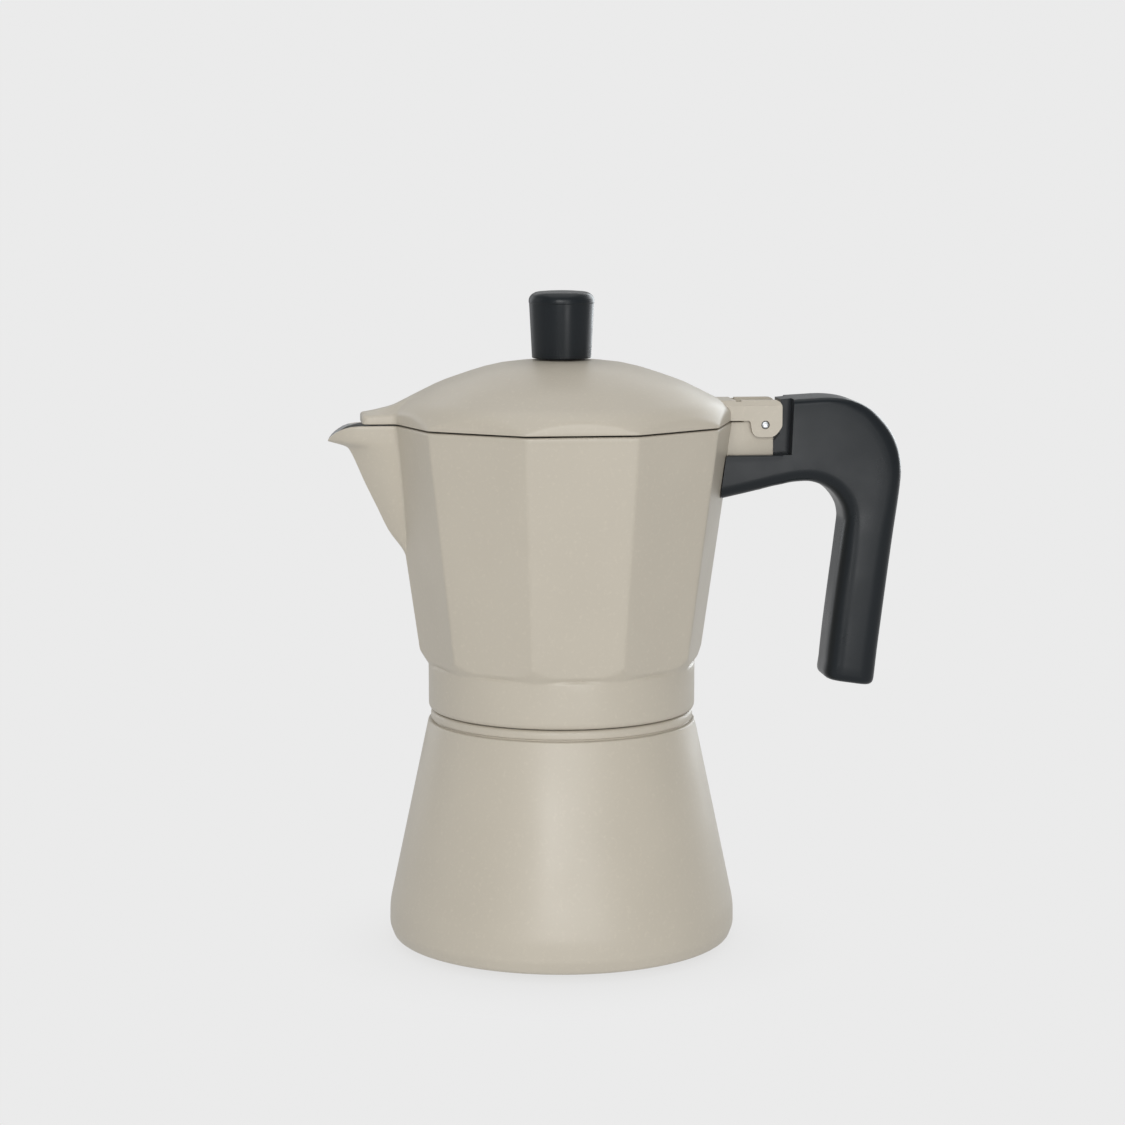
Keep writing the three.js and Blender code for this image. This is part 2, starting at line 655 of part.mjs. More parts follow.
add('lid', lid(), 'coat');
add('hinge_pin', along(cylinder(PIN_RADIUS, -earOuter, earOuter), pinX, pinHeight), 'steel');

// Knob and what holds it

const knobBottom = domeTop + GAP;
const insertBottom = knobBottom + 0.4;

function knob() {
  const top = knobBottom + KNOB_HEIGHT;
  const pocket = cylinder(INSERT_RADIUS + SLIP, knobBottom - 1, insertBottom + INSERT_LENGTH + SLIP);
  const shape = turned([
    [0, knobBottom], [KNOB_FOOT - 0.4, knobBottom], [KNOB_FOOT, knobBottom + 0.4],
    [KNOB_RADIUS, top - 3.2], [KNOB_RADIUS - 0.5, top - 1.7], [KNOB_RADIUS - 1.6, top - 0.8],
    [KNOB_RADIUS - 3, top - 0.35], [0, top],
  ], 36);
  return cut(shape, pocket);
}

function knobInsert() {
  const bore = cylinder(KNOB_THREAD + SLIP, insertBottom - 1, insertBottom + INSERT_LENGTH - 1, 16);
  const sleeve = cylinder(INSERT_RADIUS, insertBottom, insertBottom + INSERT_LENGTH);
  return cut(sleeve, bore);
}

const underDome = domeTop - LID_WALL;
const knobWasherTop = underDome - GAP;
const knobHeadTop = knobWasherTop - 0.8 - GAP;

// Screw with its head at the bottom and its shank pointing up; a cross slot in the head.
function screw(radius, headTop, headHeight, shankTop) {
  const head = 1.9 * radius;
  const bottom = headTop - headHeight;
  const body = turned([
    [0, bottom], [head - 0.5, bottom], [head, bottom + 0.5], [head, headTop], [radius, headTop],
    [radius, shankTop - 0.6], [radius - 0.6, shankTop], [0, shankTop],
  ], SMALL);
  const slot = block(-0.45, 0.45, 0.7 * head, bottom - 1, bottom + 0.5 * headHeight);
  return cut(body, slot, slot.clone().rotateZ(Math.PI / 2));
}

add('knob', knob(), 'plastic');
add('knob_insert', knobInsert(), 'brass');
add('knob_washer', ring(5, KNOB_THREAD + SLIP, knobWasherTop - 0.8, knobWasherTop), 'steel');
add('knob_screw', screw(KNOB_THREAD, knobHeadTop, 2, insertBottom + INSERT_LENGTH - 2.5), 'steel');

// Handle, hooked over the lug and screwed to it from below

const armTop = RIM_HEIGHT - 10.1;
const noseFront = pinX + LUG_KNUCKLE + GAP;

// Side outline of the handle. Its points are measured from the pin outwards and from the rim down.
function handleOutline() {
  const gripEnd = 82.3;
  const outer = new THREE.SplineCurve(points([
    [noseFront - pinX, -7.1], [12.4, -7.6], [19.4, -7.9], [25.4, -7.4], [31.4, -5.3], [36.9, -1.6], [41, 3.3],
    [43.6, 9], [44.4, 14.8], [43.5, 22], [41.3, 40.8], [38.6, 62.3], [36.5, gripEnd - 2],
  ]));
  const inner = new THREE.SplineCurve(points([
    [19.1, gripEnd - 4.4], [20, 67.3], [23, 42.4], [24.4, 30.8], [23.1, 25.5], [20, 21.5],
    [13.9, 18.9], [6.3, 19.7], [-1.6, 21.4], [-13.2, 23.9],
  ]));
  const placed = ([out, down]) => [pinX + out, RIM_HEIGHT - down];
  const curve = (spline, count) => spline.getPoints(count).map((p) => placed([p.x, p.y]));
  const end = [[35.6, gripEnd], [32.7, gripEnd + 0.8], [27, gripEnd - 0.2], [20.2, gripEnd - 2]];
  return [
    ...curve(outer, 26), ...end.map(placed), ...curve(inner, 22),
    placed([-16.6, 23.9]), [pinX - 16.6, armTop], [noseFront, armTop],
  ];
}

function handle() {
  const shape = new THREE.Shape(points(handleOutline()));
  const options = {
    depth: 2 * (GRIP_HALF - GRIP_BEVEL), bevelEnabled: true, bevelThickness: GRIP_BEVEL,
    bevelSize: GRIP_BEVEL, bevelOffset: -GRIP_BEVEL, bevelSegments: 2,
  };
  const bar = new THREE.ExtrudeGeometry(shape, options)
    .translate(0, 0, GRIP_BEVEL - GRIP_HALF)
    .rotateX(Math.PI / 2);
  const bodyClear = decagon(
    vertexRadiusAt(collarBottom) + GAP + 0.05, RIM_RADIUS + GAP + 0.05, collarBottom, RIM_HEIGHT,
  );
  const lugPocket = block(0, lugBack + GAP, LUG_HALF + GAP, lugBottom - GAP, RIM_HEIGHT + 20);
  const earReach = Math.max(
    Math.hypot(EAR_BACK - 2, tabTop - pinHeight), Math.hypot(EAR_BACK, tabTop - 2.2 - pinHeight),
  );
  const recess = cut(
    slab([
      [0, armTop + 0.1], [pinX + earReach, armTop + 0.1], [pinX + earReach + 0.8, armTop + 20],
      [0, armTop + 20],
    ], 30),
    block(-1, lugBack + 20, NOSE_HALF, 0, 400),
  );
  const nose = slab([
    [lugBack + GAP, lugBottom], [pinX + 9, lugBottom], [pinX + 9, pinHeight], [noseFront, pinHeight],
    [noseFront, pinHeight - 3], [lugBack + GAP, pinHeight - 5.4],
  ], NOSE_HALF);
  const pit = headBottom - 20;
  const screwHole = cylinder(HANDLE_SCREW + SLIP, pit, lugBottom, 16);
  const headPit = cylinder(HANDLE_SCREW * 1.9 + 0.6, pit, washerTop + GAP);
  const screwPit = joined(screwHole, headPit).translate(handleScrewX, 0, 0);
  return cut(joined(bar, nose), bodyClear, lugPocket, screwPit, recess);
}

const washerTop = lugBottom - GAP - 2.2;
const headTop = washerTop - 0.8 - GAP;
const headHeight = 2;
const headBottom = headTop - headHeight;

add('handle', handle(), 'plastic');
add('handle_washer', ring(HANDLE_SCREW * 1.9, HANDLE_SCREW + SLIP, washerTop - 0.8, washerTop)
  .translate(handleScrewX, 0, 0), 'steel');
add('handle_screw', screw(HANDLE_SCREW, headTop, headHeight, lugBottom + handleScrewDepth - 1)
  .translate(handleScrewX, 0, 0), 'steel');

export default pot;
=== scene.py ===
"""Moka pot: turned boiler, ten-sided collector with its spout, domed lid, moulded knob and handle."""

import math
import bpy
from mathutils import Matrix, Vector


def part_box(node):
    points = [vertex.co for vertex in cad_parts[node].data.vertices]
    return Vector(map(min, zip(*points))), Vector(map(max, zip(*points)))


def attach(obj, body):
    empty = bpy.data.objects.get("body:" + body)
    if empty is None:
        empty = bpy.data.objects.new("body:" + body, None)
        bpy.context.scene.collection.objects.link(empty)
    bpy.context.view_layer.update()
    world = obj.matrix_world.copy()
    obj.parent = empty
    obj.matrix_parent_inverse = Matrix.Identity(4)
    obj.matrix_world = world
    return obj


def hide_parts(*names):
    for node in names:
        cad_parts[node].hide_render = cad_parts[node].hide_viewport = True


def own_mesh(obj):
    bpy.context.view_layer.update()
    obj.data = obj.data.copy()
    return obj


bl_info = {
    "name": "Moka Pot",
    "version": (1, 0, 0),
    "blender": (4, 5, 0),
    "location": "View3D > Sidebar > Moka Pot",
    "description": "Builds a stovetop coffee maker piece by piece round its packed frame",
    "category": "Add Mesh",
}

import bpy
from mathutils import Vector

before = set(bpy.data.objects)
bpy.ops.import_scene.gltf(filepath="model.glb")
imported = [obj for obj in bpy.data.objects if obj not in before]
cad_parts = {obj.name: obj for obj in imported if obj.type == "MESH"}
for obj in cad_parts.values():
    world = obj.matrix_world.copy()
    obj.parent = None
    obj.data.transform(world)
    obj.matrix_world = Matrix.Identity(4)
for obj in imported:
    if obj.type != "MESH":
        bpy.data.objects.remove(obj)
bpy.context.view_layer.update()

MM = 0.001
SIDES = 10
HALF_SIDE = math.pi / SIDES


def low_corner(node):
    """Corner of a node's box with the lowest x, y and z, in millimetres."""
    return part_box(node)[0] / MM


def high_corner(node):
    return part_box(node)[1] / MM


def middle_of(node):
    return (low_corner(node) + high_corner(node)) / 2


# Places read from the frame, in millimetres

PIN_X = middle_of("hinge_pin").x
PIN_Z = middle_of("hinge_pin").z
NECK_TOP = high_corner("boiler").z
KNOB_FOOT = low_corner("knob").z
KNOB_TOP = high_corner("knob").z
VALVE_Z = middle_of("valve_body").z
VALVE_END = high_corner("valve_body").y

# Sizes that more than one piece is drawn by, in millimetres

RIM = 161.3
RIM_VERTEX = 53.6
NECK_RADIUS = 36.6
THREAD_PITCH = 3.5
THREAD_DEPTH = 1.1
THREAD_TURNS = 1.75
THREAD_RUN = 1.15
LUG_ROOM = 6.8
PIN_BORE = 1.3
BOLT_X = 58.4
BOLT_BORE = 2.65
LID_SCREW_BORE = 2.15


# Drawing helpers


def blended(low, high, share):
    return low + (high - low) * share


def unit(value):
    """Keeps a share between nought and one."""
    return max(0.0, min(1.0, value))


def curve_at(knots, x):
    """Height of a smooth curve through the knots (pairs in rising order) at x."""
    if x <= knots[0][0]:
        return knots[0][1]
    if x >= knots[-1][0]:
        return knots[-1][1]
    slopes = []
    for i in range(len(knots)):
        a = knots[max(0, i - 1)]
        b = knots[min(len(knots) - 1, i + 1)]
        slopes.append((b[1] - a[1]) / (b[0] - a[0]))
    for i in range(len(knots) - 1):
        (x0, y0), (x1, y1) = knots[i], knots[i + 1]
        if x <= x1:
            width = x1 - x0
            t = (x - x0) / width
            return (
                (2 * t**3 - 3 * t**2 + 1) * y0
                + (t**3 - 2 * t**2 + t) * width * slopes[i]
                + (3 * t**2 - 2 * t**3) * y1
                + (t**3 - t**2) * width * slopes[i + 1]
            )


def soft_min(a, b, reach):
    """The smaller of two lengths, with the corner between them rounded over reach."""
    h = unit(0.5 + 0.5 * (b - a) / reach)
    return blended(b, a, h) - reach * h * (1 - h)


def soft_max(a, b, reach):
    return -soft_min(-a, -b, reach)


def rounded(corners, closed=False):
    """Points along a line of corners (x, y, radius, arc steps, points after), corners rounded."""
    last = len(corners) - 1
    arcs = []
    for i, (x, y, radius, steps, after) in enumerate(corners):
        here = Vector((x, y))
        if steps == 0 or (not closed and i in (0, last)):
            arcs.append(([here], after))
            continue
        to_a = Vector(corners[i - 1][:2]) - here
        to_b = Vector(corners[(i + 1) % len(corners)][:2]) - here
        room = 0.48 * min(to_a.length, to_b.length)
        if room < 1e-6:
            arcs.append(([here] * (steps + 1), after))
            continue
        angle = max(0.05, to_a.angle(to_b))
        tangent = min(room, radius / math.tan(angle / 2)) if angle < 3.14 else min(room, 0.1)
        start = here + to_a.normalized() * tangent
        end = here + to_b.normalized() * tangent
        arc = []
        for k in range(steps + 1):
            t = k / steps
            arc.append(start * (1 - t) ** 2 + here * 2 * t * (1 - t) + end * t * t)
        arcs.append((arc, after))
    points = []
    for i, (arc, after) in enumerate(arcs):
        points.extend(arc)
        if i == last and not closed:
            break
        onward = arcs[(i + 1) % len(arcs)][0][0]
        for k in range(after):
            points.append(arc[-1].lerp(onward, (k + 1) / (after + 1)))
    return [(p.x, p.y) for p in points]


def section(*corners):
    """A turned piece's section: (radius, height) or (radius, height, rounding) for each corner."""
    full = []
    for corner in corners:
        radius = corner[2] if len(corner) > 2 else 0
        full.append((corner[0], corner[1], radius, 4 if radius else 0, 0))
    return rounded(full)


def deselect():
    if bpy.context.object and bpy.context.object.mode != "OBJECT":
        bpy.ops.object.mode_set(mode="OBJECT")
    bpy.ops.object.select_all(action="DESELECT")


def pick(obj):
    deselect()
    obj.select_set(True)
    bpy.context.view_layer.objects.active = obj
    return obj


def named(name):
    obj = bpy.context.active_object
    obj.name = name
    obj.data.name = name
    return obj


def skinned(name, rings):
    """Lays a grid over rings of points in millimetres, closes it round and caps its ends."""
    count = len(rings[0])
    deselect()
    bpy.ops.mesh.primitive_grid_add(x_subdivisions=count, y_subdivisions=len(rings) - 1, size=1)
    obj = named(name)
    places = []
    for ring in rings:
        for x, y, z in list(ring) + [ring[0]]:
            places.extend((x * MM, y * MM, z * MM))
    if len(places) != 3 * len(obj.data.vertices):
        raise RuntimeError(f"{name}: {len(places) // 3} places for {len(obj.data.vertices)} points")
    obj.data.vertices.foreach_set("co", places)
    bpy.ops.object.mode_set(mode="EDIT")
    bpy.ops.mesh.select_all(action="SELECT")
    bpy.ops.mesh.remove_doubles(threshold=1e-6)
    bpy.ops.mesh.dissolve_degenerate(threshold=1e-7)
    bpy.ops.mesh.select_all(action="DESELECT")
    bpy.ops.mesh.select_mode(type="EDGE")
    bpy.ops.mesh.select_non_manifold(extend=False)
    bpy.ops.mesh.edge_face_add()
    bpy.ops.mesh.select_all(action="SELECT")
    bpy.ops.mesh.fill_holes(sides=0)
    bpy.ops.mesh.normals_make_consistent(inside=False)
    bpy.ops.object.mode_set(mode="OBJECT")
    return obj


def turned(name, profile, steps=96, axis="Z", place=(0, 0, 0)):
    """Draws half a section by extruding a point, and spins it round the axis."""
    deselect()
    bpy.ops.mesh.primitive_plane_add(size=MM, location=(0, 0, 0))
    obj = named(name)
    bpy.ops.object.mode_set(mode="EDIT")
    bpy.ops.mesh.select_mode(type="VERT")
    bpy.ops.mesh.select_all(action="SELECT")
    bpy.ops.mesh.merge(type="CENTER")
    upright = axis == "Z"
    here = (0.0, 0.0)
    for number, (radius, height) in enumerate(profile):
        out = (radius - here[0]) * MM
        along = (height - here[1]) * MM
        step = (out, 0, along) if upright else (out, along, 0)
        if number == 0:
            bpy.ops.transform.translate(value=step)
        else:
            bpy.ops.mesh.extrude_vertices_move(TRANSFORM_OT_translate={"value": step})
        here = (radius, height)
    bpy.ops.mesh.select_all(action="SELECT")
    bpy.ops.mesh.spin(
        steps=steps, angle=2 * math.pi, center=(0, 0, 0), axis=(0, 0, 1) if upright else (0, 1, 0)
    )
    bpy.ops.mesh.select_all(action="SELECT")
    bpy.ops.mesh.remove_doubles(threshold=2e-6)
    bpy.ops.mesh.normals_make_consistent(inside=False)
    bpy.ops.transform.translate(value=tuple(v * MM for v in place))
    bpy.ops.object.mode_set(mode="OBJECT")
    return obj


def slab(name, outline, half, y=0.0):
    """An outline of (x, z) pairs stretched from y - half to y + half."""
    rings = []
    for side in (y - half, y + half):
        rings.append([(px, side, pz) for px, pz in outline])
    return skinned(name, rings)


def drilled(name, radius, start, end, place=(0, 0, 0), axis="Z", steps=48):
    """A plain drill bit, used only to cut with."""
    return turned(name, [(0, start), (radius, start), (radius, end), (0, end)], steps, axis, place)


def combined(obj, tool, operation):
    """Joins a tool to a piece or cuts the piece with it, and throws the tool away."""
    pick(obj)
    change = obj.modifiers.new("shape", "BOOLEAN")
    change.operation = operation
    change.object = tool
    change.solver = "MANIFOLD"
    bpy.ops.object.modifier_apply(modifier=change.name)
    if not obj.data.vertices:
        raise RuntimeError(f"{obj.name} was lost with {tool.name}")
    bpy.data.objects.remove(tool, do_unlink=True)
    return obj


def with_added(obj, *tools):
    for tool in tools:
        combined(obj, tool, "UNION")
    return obj


def with_cuts(obj, *tools):
    for tool in tools:
        combined(obj, tool, "DIFFERENCE")
    return obj


def eased(obj, width):
    """Takes the sharpness off a piece's edges."""
    pick(obj)
    bevel = obj.modifiers.new("edges", "BEVEL")
    bevel.width = width * MM
    bevel.segments = 2
    bevel.limit_method = "ANGLE"
    bevel.angle_limit = math.radians(35)
    bpy.ops.object.modifier_apply(modifier=bevel.name)
    return obj


def thread_ridge(name, root, bottom, direction):
    """A screw thread's ridge, outwards (1) or inwards (-1), that fades away at both ends."""
    steps = int(THREAD_TURNS * 72)
    half = THREAD_RUN
    rings = []
    for i in range(steps + 1):
        turn = THREAD_TURNS * i / steps
        fade = min(1.0, 0.1 + 6 * min(turn, THREAD_TURNS - turn))
        angle = 2 * math.pi * turn
        z = bottom + turn * THREAD_PITCH
        crest = root + direction * THREAD_DEPTH * fade
        slope = blended(root, crest, 0.9)
        inside = root - direction * 0.5
        outline = [
            (inside, z - half), (root, z - half), (slope, z - 0.56 * half), (crest, z - 0.4 * half),
            (crest, z + 0.4 * half), (slope, z + 0.56 * half), (root, z + half), (inside, z + half),
        ]
        rings.append([(r * math.cos(angle), r * math.sin(angle), h) for r, h in outline])
    return skinned(name, rings)


def finished(obj, body, slot, node, smooth=32):
    """Smooths a piece, gives it its finish, and hangs it on the body that it moves with."""
    pick(obj)
    bpy.ops.object.shade_smooth_by_angle(angle=math.radians(smooth))
    obj.data.materials.clear()
    obj.data.materials.append(finish_for(slot))
    for face in obj.data.polygons:
        face.material_index = 0
    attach(obj, body)
    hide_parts(node)
    deselect()
    return obj


# Finishes


def fill_in(node, values):
    """Sets a node's sockets by name."""
    for name, value in values.items():
        node.inputs[name].default_value = value
    return node


class Finish:
    """Collects the nodes of one material."""

    def __init__(self, name, colour, roughness, metallic=0.0, specular=0.5):
        self.material = bpy.data.materials.new(name)
        self.material.use_nodes = True
        self.nodes = self.material.node_tree.nodes
        self.links = self.material.node_tree.links
        self.shader = self.nodes["Principled BSDF"]
        self.colour = tuple(colour[:3]) + (1.0,)
        fill_in(self.shader, {
            "Base Color": self.colour, "Roughness": roughness, "Metallic": metallic,
            "Specular IOR Level": specular,
        })
        self.place = self.nodes.new("ShaderNodeTexCoord").outputs["Object"]
        self.height = None

    def noise(self, scale, detail, stretch=(1, 1, 1)):
        mapping = fill_in(self.nodes.new("ShaderNodeMapping"), {"Scale": stretch})
        texture = fill_in(self.nodes.new("ShaderNodeTexNoise"), {"Scale": scale, "Detail": detail})
        self.links.new(self.place, mapping.inputs["Vector"])
        self.links.new(mapping.outputs["Vector"], texture.inputs["Vector"])
        return texture.outputs["Fac"]

    def rings(self, scale, distortion, direction):
        texture = self.nodes.new("ShaderNodeTexWave")
        texture.wave_type = "RINGS"
        texture.rings_direction = direction
        fill_in(texture, {"Scale": scale, "Distortion": distortion, "Detail": 2.0})
        self.links.new(self.place, texture.inputs["Vector"])
        return texture.outputs["Fac"]

    def spread(self, value, low, high, start=0.3, end=0.7):
        """Turns a pattern's value into a number between low and high."""
        node = fill_in(self.nodes.new("ShaderNodeMapRange"), {
            "From Min": start, "From Max": end, "To Min": low, "To Max": high,
        })
        self.links.new(value, node.inputs["Value"])
        return node.outputs["Result"]

    def tint(self, value, other, start=0.3, end=0.7):
        """Moves the colour towards another one where the pattern is strong."""
        mix = self.nodes.new("ShaderNodeMix")
        mix.data_type = "RGBA"
        source = self.shader.inputs["Base Color"]
        if source.is_linked:
            self.links.new(source.links[0].from_socket, mix.inputs["A"])
        else:
            mix.inputs["A"].default_value = self.colour
        mix.inputs["B"].default_value = tuple(other[:3]) + (1.0,)
        self.links.new(self.spread(value, 0.0, 1.0, start, end), mix.inputs["Factor"])
        self.links.new(mix.outputs["Result"], source)

    def gloss(self, value, low, high):
        self.links.new(self.spread(value, low, high), self.shader.inputs["Roughness"])

    def bump(self, value, strength, distance):
        """Raises the surface by a pattern; distance is in millimetres."""
        node = self.nodes.new("ShaderNodeBump")
        fill_in(node, {"Strength": strength, "Distance": distance * MM})
        self.links.new(value, node.inputs["Height"])
        if self.height is not None:
            self.links.new(self.height, node.inputs["Normal"])
        self.height = node.outputs["Normal"]
        self.links.new(self.height, self.shader.inputs["Normal"])


def shade(colour, factor):
    return tuple(min(1.0, c * factor) for c in colour[:3])


def powder_coat(colour):
    """Satin powder coat over a casting: fine orange peel, faint clouding, a soft sheen."""
    coat = Finish("satin_powder_coat", colour, 0.42, 0.0, 0.5)
    coat.tint(coat.noise(38, 4), shade(colour, 0.965), 0.35, 0.75)
    coat.tint(coat.noise(900, 2), shade(colour, 1.05), 0.56, 0.78)
    coat.gloss(coat.noise(60, 3), 0.38, 0.47)
    coat.bump(coat.noise(420, 3), 0.16, 0.05)
    coat.bump(coat.noise(1900, 2), 0.10, 0.02)
    fill_in(coat.shader, {"Coat Weight": 0.06, "Coat Roughness": 0.3})
    return coat.material


def moulded_plastic(colour):
    """Heat-proof black plastic with a fine spark-eroded grain."""
    plastic = Finish("moulded_black_plastic", colour, 0.3, 0.0, 0.27)
    plastic.tint(plastic.noise(30, 3), shade(colour, 1.18), 0.4, 0.8)
    plastic.gloss(plastic.noise(75, 4), 0.26, 0.34)
    plastic.bump(plastic.noise(1300, 3), 0.22, 0.03)
    plastic.bump(plastic.noise(260, 2), 0.06, 0.05)
    return plastic.material


def bare_aluminium(colour):
    """Aluminium as it comes off the lathe or the press, with fine turning lines."""
    metal = Finish("bare_turned_aluminium", colour, 0.34, 1.0)
    metal.tint(metal.noise(45, 4), shade(colour, 0.86), 0.4, 0.75)
    metal.gloss(metal.noise(160, 4), 0.26, 0.42)
    metal.bump(metal.rings(900, 0.6, "Z"), 0.14, 0.02)
    return metal.material


def bare_casting(colour):
    """Uncoated inside of a casting: dull grey metal with a sandy skin and faint cloudy stains."""
    metal = Finish("bare_casting", shade(colour, 0.72), 0.56, 1.0)
    metal.tint(metal.noise(55, 5), shade(colour, 0.38), 0.4, 0.7)
    metal.gloss(metal.noise(140, 4), 0.38, 0.56)
    metal.bump(metal.noise(1500, 3), 0.25, 0.03)
    return metal.material


def brass(colour):
    metal = Finish("machined_brass", colour, 0.28, 1.0)
    metal.tint(metal.noise(90, 4), shade(colour, 0.8), 0.42, 0.8)
    metal.gloss(metal.noise(240, 4), 0.2, 0.36)
    metal.bump(metal.rings(1100, 0.4, "Y"), 0.1, 0.02)
    return metal.material


def steel(colour):
    metal = Finish("drawn_steel", colour, 0.22, 1.0)
    metal.tint(metal.noise(120, 3), shade(colour, 0.9), 0.4, 0.8)
    metal.gloss(metal.noise(320, 4), 0.16, 0.3)
    metal.bump(metal.noise(900, 2, (1, 0.05, 1)), 0.08, 0.02)
    return metal.material


def silicone(colour):
    """Pale seal, matt and a little milky."""
    rubber = Finish("pale_silicone", colour, 0.62, 0.0, 0.35)
    rubber.tint(rubber.noise(70, 3), shade(colour, 0.94), 0.4, 0.75)
    rubber.gloss(rubber.noise(180, 3), 0.55, 0.7)
    rubber.bump(rubber.noise(700, 2), 0.12, 0.04)
    fill_in(rubber.shader, {"Subsurface Weight": 0.08, "Subsurface Scale": 1.5 * MM})
    return rubber.material


FINISHES = {}


def finish_for(slot):
    """The material of a slot, made the first time that a piece asks for it."""
    colours = bpy.context.scene.moka_pot_colours
    makers = {
        "coated_casting": (powder_coat, colours.casting),
        "black_plastic": (moulded_plastic, colours.plastic),
        "bare_aluminium": (bare_aluminium, colours.aluminium),
        "bare_casting": (bare_casting, colours.aluminium),
        "brass": (brass, colours.brass),
        "steel": (steel, colours.steel),
        "seal": (silicone, colours.seal),
    }
    if slot not in FINISHES:
        maker, colour = makers[slot]
        FINISHES[slot] = maker(tuple(colour))
    return FINISHES[slot]


def bare_inside(obj, inside):
    """Leaves the coat off the faces that the test, given a face's centre and normal, picks out."""
    obj.data.materials.append(finish_for("bare_casting"))
    for face in obj.data.polygons:
        if inside(face.center / MM, face.normal):
            face.material_index = 1


# Boiler and valve

BEAD_TOP = 73.2
FOOT_WIDEST = (53.25, 12.3)
WAIST = (41.05, 69.9)
VALVE_FACE = 48.5
VALVE_FLAT = 50.1
SPRING_START = 45.05
SPRING_END = 55.55
SPRING_RADIUS = 2.37
SPRING_TURNS = 5


def inside_boiler(centre, normal):
    """The neck with its thread, and all that lies well within the wall of the cone."""
    if centre.z > BEAD_TOP + 0.1:
        return True
    share = (centre.z - FOOT_WIDEST[1]) / (WAIST[1] - FOOT_WIDEST[1])
    wall = blended(FOOT_WIDEST[0] - 2.85, WAIST[0] - 2.45, share)
    return 3.4 < centre.z < 70 and math.hypot(centre.x, centre.y) < wall


def inside_collector(centre, normal):
    """All that faces inwards below the rim, but not the lug or the outside of the spout."""
    radius = math.hypot(centre.x, centre.y)
    outward = (normal.x * centre.x + normal.y * centre.y) / max(radius, 0.1)
    if centre.z > RIM - 0.1 or (centre.x > 49.9 and abs(centre.y) < 6.6):
        return False
    if centre.z < 90.5:
        return radius < 39.2 and centre.z > 73.5
    if centre.x < -44 and abs(centre.y) < 8:
        return normal.y * centre.y < 0 if abs(normal.y) > 0.2 else normal.x > 0
    return radius < 40 or outward < -0.05


def boiler_body():
    body = turned("boiler_shell", section(
        (0, 0.9), (40.2, 0.9, 0.5), (41.2, 0, 0.5), (43.2, 0, 6), (52.0, 2.35, 2.2),
        (53.35, 6.0, 5), (*FOOT_WIDEST, 20), (*WAIST, 0.6), (39.7, 69.95, 0.2), (39.65, 70.4, 0.2),
        (40.3, 70.6, 0.3), (40.25, BEAD_TOP, 2.2), (NECK_RADIUS, BEAD_TOP, 0.3),
        (NECK_RADIUS, NECK_TOP, 0.6), (33.2, NECK_TOP, 0.5), (33.2, 69.6, 1.5), (38.8, 66.0, 2),
        (49.0, 19, 6), (50.4, 9, 8), (45.5, 3.6, 3), (0, 3.6),
    ), 192)
    boss = turned("boss", section(
        (0, 40), (11.5, 40), (10.6, 43.6, 0.8), (8.5, 45.4, 1.2), (8.5, VALVE_FACE, 0.7),
        (0, VALVE_FACE),
    ), 64, "Y", (0, 0, VALVE_Z))
    with_added(body, boss, thread_ridge("ridge", NECK_RADIUS, BEAD_TOP + 1.8, 1))
    return with_cuts(body, drilled("bore", 4.6, 36, 60, (0, 0, VALVE_Z), "Y"))


def valve_pieces():
    """Body with its hexagon, washer, piston and plug, all along +Y."""
    at = (0, 0, VALVE_Z)
    body = turned("valve_housing", section(
        (0, 39.0), (4.45, 39.0, 0.4), (4.45, VALVE_FLAT), (5.4, VALVE_FLAT), (5.4, VALVE_END, 0.9),
        (0, VALVE_END),
    ), 64, "Y", at)
    corner = 7 / math.cos(math.pi / 6)
    far = VALVE_FLAT + 5
    flats = [(0, VALVE_FLAT), (corner, VALVE_FLAT), (corner, far), (0, far)]
    hexagon = turned("hexagon", flats, 6, "Y")
    crown = turned("crown", section(
        (0, 49), (7.3, 49), (7.3, VALVE_FLAT), (8.6, 50.8), (8.6, 54.4), (7.3, far), (7.3, 56),
        (0, 56),
    ), 64, "Y")
    combined(hexagon, crown, "INTERSECT")
    pick(hexagon)
    bpy.ops.object.mode_set(mode="EDIT")
    bpy.ops.mesh.select_all(action="SELECT")
    bpy.ops.transform.translate(value=(0, 0, VALVE_Z * MM))
    bpy.ops.object.mode_set(mode="OBJECT")
    with_added(body, hexagon)
    with_cuts(body, drilled("orifice", 1.4, 36, 44, at, "Y"), drilled("chamber", 3.1, 42.0, 60, at, "Y"))
    washer = turned("valve_seal_ring", section(
        (4.6, 49.3), (4.6, 48.8, 0.2), (7.0, 48.8, 0.25), (7.0, 49.8, 0.25), (4.6, 49.8, 0.2),
        (4.6, 49.3),
    ), 64, "Y", at)
    piston = turned("valve_pin", section(
        (0, 42.3), (2.25, 42.3, 0.2), (2.85, 42.9, 0.3), (2.85, 44.9, 0.2), (0.75, 44.9, 0.3),
        (0.75, VALVE_END + 0.6, 0.35), (0, VALVE_END + 0.6),
    ), 40, "Y", at)
    plug = turned("valve_plug_ring", section(
        (1.2, 56.5), (1.2, 55.7, 0.1), (2.95, 55.7, 0.15), (2.95, 58.1, 0.15), (1.2, 58.1, 0.3),
        (1.2, 56.5),
    ), 48, "Y", at)
    return body, washer, piston, plug


def coil_spring(name, start, end, radius, wire, turns):
    """Round wire wound along +Y, with a closed first and last turn."""
    steps = 32 * turns
    rings = []
    for i in range(steps + 1):
        share = i / steps
        angle = 2 * math.pi * turns * share
        eased_share = blended(share, share * share * (3 - 2 * share), 0.5)
        y = blended(start + wire, end - wire, eased_share)
        ring = []
        for k in range(10):
            turn = 2 * math.pi * k / 10
            r = radius + wire * math.cos(turn)
            ring.append((r * math.cos(angle), y + wire * math.sin(turn), VALVE_Z + r * math.sin(angle)))
        rings.append(ring)
    return skinned(name, rings)


# Funnel, seal and filter


